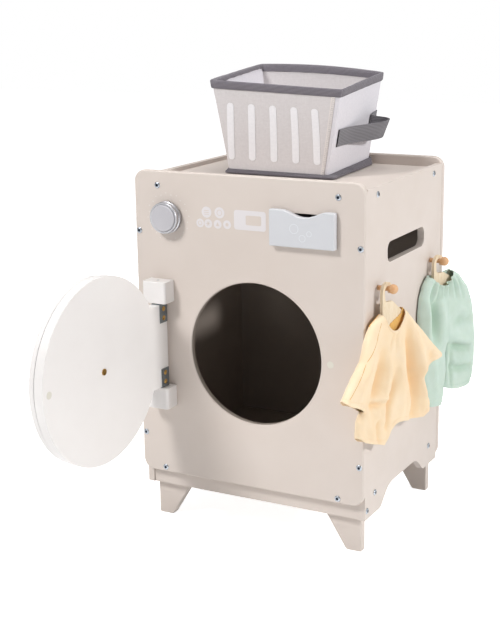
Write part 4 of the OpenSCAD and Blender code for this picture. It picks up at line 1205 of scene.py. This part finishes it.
def neck_band(line, half):
    """A narrow band of cloth laid along a line on the front sheet."""
    rows = []
    for s, z in [along(line, i / 50) for i in range(51)]:
        rows.append([shirt.hung.at(s, z + d, shirt.depth(s, z + d, 0) + shirt.hem(s, z + d) + lift, 1.7)
                     for d, lift in ((-half, 0.3), (-half * 0.6, 0.95), (half * 0.6, 0.95), (half, 0.3))])
    points = [p for row in rows for p in row]
    uv = [(i * 0.0012, k * 0.0012) for i in range(len(rows)) for k in range(4)]
    faces = [(a, d, c, b) for a, b, c, d in grid(len(rows) - 1, 3)]
    mesh = thick(mesh_of("neck band", points, faces, uv), 0.0004)
    piece("shirt_neck_band", mesh, "shirt_hanger", shirt_cotton, smooth=70)


def neck_facing():
    """The turned-in cloth of the back neck before the plate of the hanger, in the darker orange of painted
    shade.
    """
    top = [(0, -48), (8, -45), (17, -42), (26, -40), (33, -37), (37, -31)]
    low = [(2, -60), (14, -64), (24, -64), (34, -58), (41, -48), (43, -38)]
    rows, columns, points, uv = 8, 30, [], []
    for j in range(rows + 1):
        f = j / rows
        for i in range(columns + 1):
            a, b = along(top, i / columns), along(low, i / columns)
            lift = 2.6 + 0.5 * math.sin(1.9 * i * (1 - 0.02 * j)) * (1 - f) + 0.6 * f
            s, z = a[0] + (b[0] - a[0]) * f, a[1] + (b[1] - a[1]) * f
            points.append(SHIRT_HUNG.at(s, z + 0.5 * math.sin(1.3 * i) * (1 - f), lift))
            uv.append((s * MM, z * MM))
    faces = [(a, d, c, b) for a, b, c, d in grid(rows, columns)]
    mesh = thick(mesh_of("neck facing", points, faces, uv), 0.0005)
    piece("shirt_neck_facing", mesh, "shirt_hanger", shaded_neck_cotton, smooth=70)


neck_facing()
neck_band(lifted(neck_edge[1:-1], 1.2), 1.7)

# Trousers: two legs that share the cloth above the crotch
trouser_left = [(-28, -196), (-37, -160), (-43, -128), (-46, -104), (-50, -80), (-50, -62), (-46, -44),
                (-36, -28), (-22, -17)]
trouser_right = [(83, -184), (89, -172), (93, -147), (93, -122), (89, -94), (82, -67), (70, -45), (48, -25),
                 (31, -17)]
fork_top = [(20, -119), (18, -90), (14, -60), (10, -36), (6, -22)]
trouser_fork = [(8, -200), (14, -178), (19, -150), (16, -130)] + fork_top
rear_fork = [(13, -180), (18, -166), (20, -146), (18, -130)] + fork_top
trouser_folds = [
    ([(-24, -50), (-13, -76), (-7, -108)], 9, -5.5),
    ([(-40, -40), (-37, -62), (-33, -100)], 8, 3.2),
    ([(-6, -46), (0, -78), (1, -112)], 8, 2.6),
    ([(46, -72), (60, -84), (72, -84)], 6, 2.2),
    ([(34, -92), (52, -88), (74, -92)], 7, -2.2),
    ([(22, -119), (46, -127), (71, -134)], 4.5, -4.2),
    ([(24, -111), (48, -118), (74, -126)], 6, 2.6),
    ([(23, -150), (48, -158), (75, -161)], 4.5, -3.2),
    ([(24, -143), (48, -150), (74, -153)], 5, 2.0),
    ([(26, -124), (27, -150), (29, -178)], 3.5, -3.4),
    ([(-24, -120), (-18, -150), (-12, -186)], 8, 2.4),
]
GATHERS = ((-14, -30, -1), (-10, -20, 1), (-7, -12, -1), (-2, -3, 1), (2, 5, -1), (7, 12, 1), (11, 19, -1),
           (16, 28, 1), (20, 37, -1), (24, 46, 1), (28, 55, -1))
for a, b, sign in GATHERS:
    line = [(a, -22), ((a + b) / 2, -33), (b, -47 - 0.2 * abs(b))]
    trouser_folds.append((line, 2.0 + 0.03 * abs(b), 1.7 * sign))
front_hem = [(-28, -196), (8, -201)]
rear_hem = [(13, -178), (30, -184), (48, -187), (66, -188), (83, -184)]
LEGS = ((trouser_left, trouser_fork, front_hem), (rear_fork, trouser_right, rear_hem))
front, rear = (Garment(TROUSER_HUNG, left, right, [], [], [hem], hem) for left, right, hem in LEGS)
trouser_shut = [front.edge(0, 0, 1), rear.edge(1, 0, 1), front.edge(1, 0, 0.5), rear.edge(0, 0, 0.5)]
legs = [Leg(TROUSER_HUNG, left, right, trouser_shut, trouser_folds, [hem], hem, (0, 0), 4.6, 60, 84, 1.9)
        for left, right, hem in LEGS]
legs[0].seams = [(0, 0, 1), (1, 0, 0.5)]
legs[1].seams = [(0, 0, 0.5), (1, 0, 1)]
cloth = sewn("cotton trousers", legs, "trouser_hanger", (trouser_cotton,), "trousers")

trousers = Garment(TROUSER_HUNG, trouser_left, trouser_right, trouser_shut, trouser_folds,
                   [front_hem, rear_hem], rear_hem, (0, 0), 4.6, drape=1.9)
trouser_lines = [trousers.on_front(line, 0.0) for line in (
    lifted(front_hem, 5.5), lifted(rear_hem, 5.5), [(20, -117), (18, -90), (15, -60), (11, -42)])]
piece("trouser_stitches", stitched(trouser_lines, mint_thread, 0.0022, 0.0016, 0.00035), "trouser_hanger")


# Floor, light and background
FLOOR_HALF, FLOOR_GLOW, SKY_LEVEL = 6.0, 0.8, 0.34


def pale_floor():
    h = FLOOR_HALF
    floor = loose("floor", mesh_of("floor", [(-h, -h, 0), (h, -h, 0), (h, h, 0), (-h, h, 0)], [(0, 1, 2, 3)]))
    f = Finish("pale floor", (0.86, 0.86, 0.86, 1), 0.9, Specular_IOR_Level=0.1)
    glow = f.add("ShaderNodeEmission", {"Color": (1, 1, 1, 1)})
    path = f.add("ShaderNodeLightPath")
    seen = f.maths("MAXIMUM", path.outputs["Is Camera Ray"], path.outputs["Is Glossy Ray"])
    seen = f.maths("MAXIMUM", seen, path.outputs["Is Transmission Ray"])
    f.tree.links.new(f.maths("MULTIPLY", seen, FLOOR_GLOW), glow.inputs["Strength"])
    both = f.add("ShaderNodeAddShader", {0: f.shader.outputs[0], 1: glow.outputs[0]})
    f.tree.links.new(both.outputs[0], f.tree.nodes["Material Output"].inputs["Surface"])
    floor.data.materials.append(f.material)


def white_sky():
    """White to the camera and through the pane, and dimmer as light."""
    world = bpy.data.worlds.new("studio")
    world.use_nodes = True
    tree = world.node_tree
    path = add_node(tree, "ShaderNodeLightPath")
    seen = add_node(tree, "ShaderNodeMath", {
        0: path.outputs["Is Camera Ray"], 1: path.outputs["Is Transmission Ray"]}, operation="MAXIMUM")
    level = add_node(tree, "ShaderNodeMapRange", {
        "Value": seen.outputs[0], "To Min": SKY_LEVEL, "To Max": 1.0})
    sky = tree.nodes["Background"]
    tree.links.new(level.outputs["Result"], sky.inputs["Strength"])
    sky.inputs["Color"].default_value = (1, 1, 1, 1)
    scene.world = world


def lamp(name, at, to, size, power):
    data = bpy.data.lights.new(name, "AREA")
    data.shape = "DISK"
    data.size = size
    data.energy = power
    obj = loose(name, data)
    obj.location = at
    obj.rotation_euler = (Vector(to) - Vector(at)).to_track_quat("-Z", "Y").to_euler()


pale_floor()
white_sky()
lamp("hard lamp on the right", (2.85, 0.1, 1.6), (0.15, 0, 0.3), 0.3, 46)
lamp("soft lamp overhead", (0.2, 0.1, 2.9), (0, 0, 0.3), 1.2, 22)
lamp("wide lamp on the left", (-0.85, -1.95, 2.2), (0, 0, 0.3), 0.7, 46)

scene.view_settings.view_transform = "Standard"
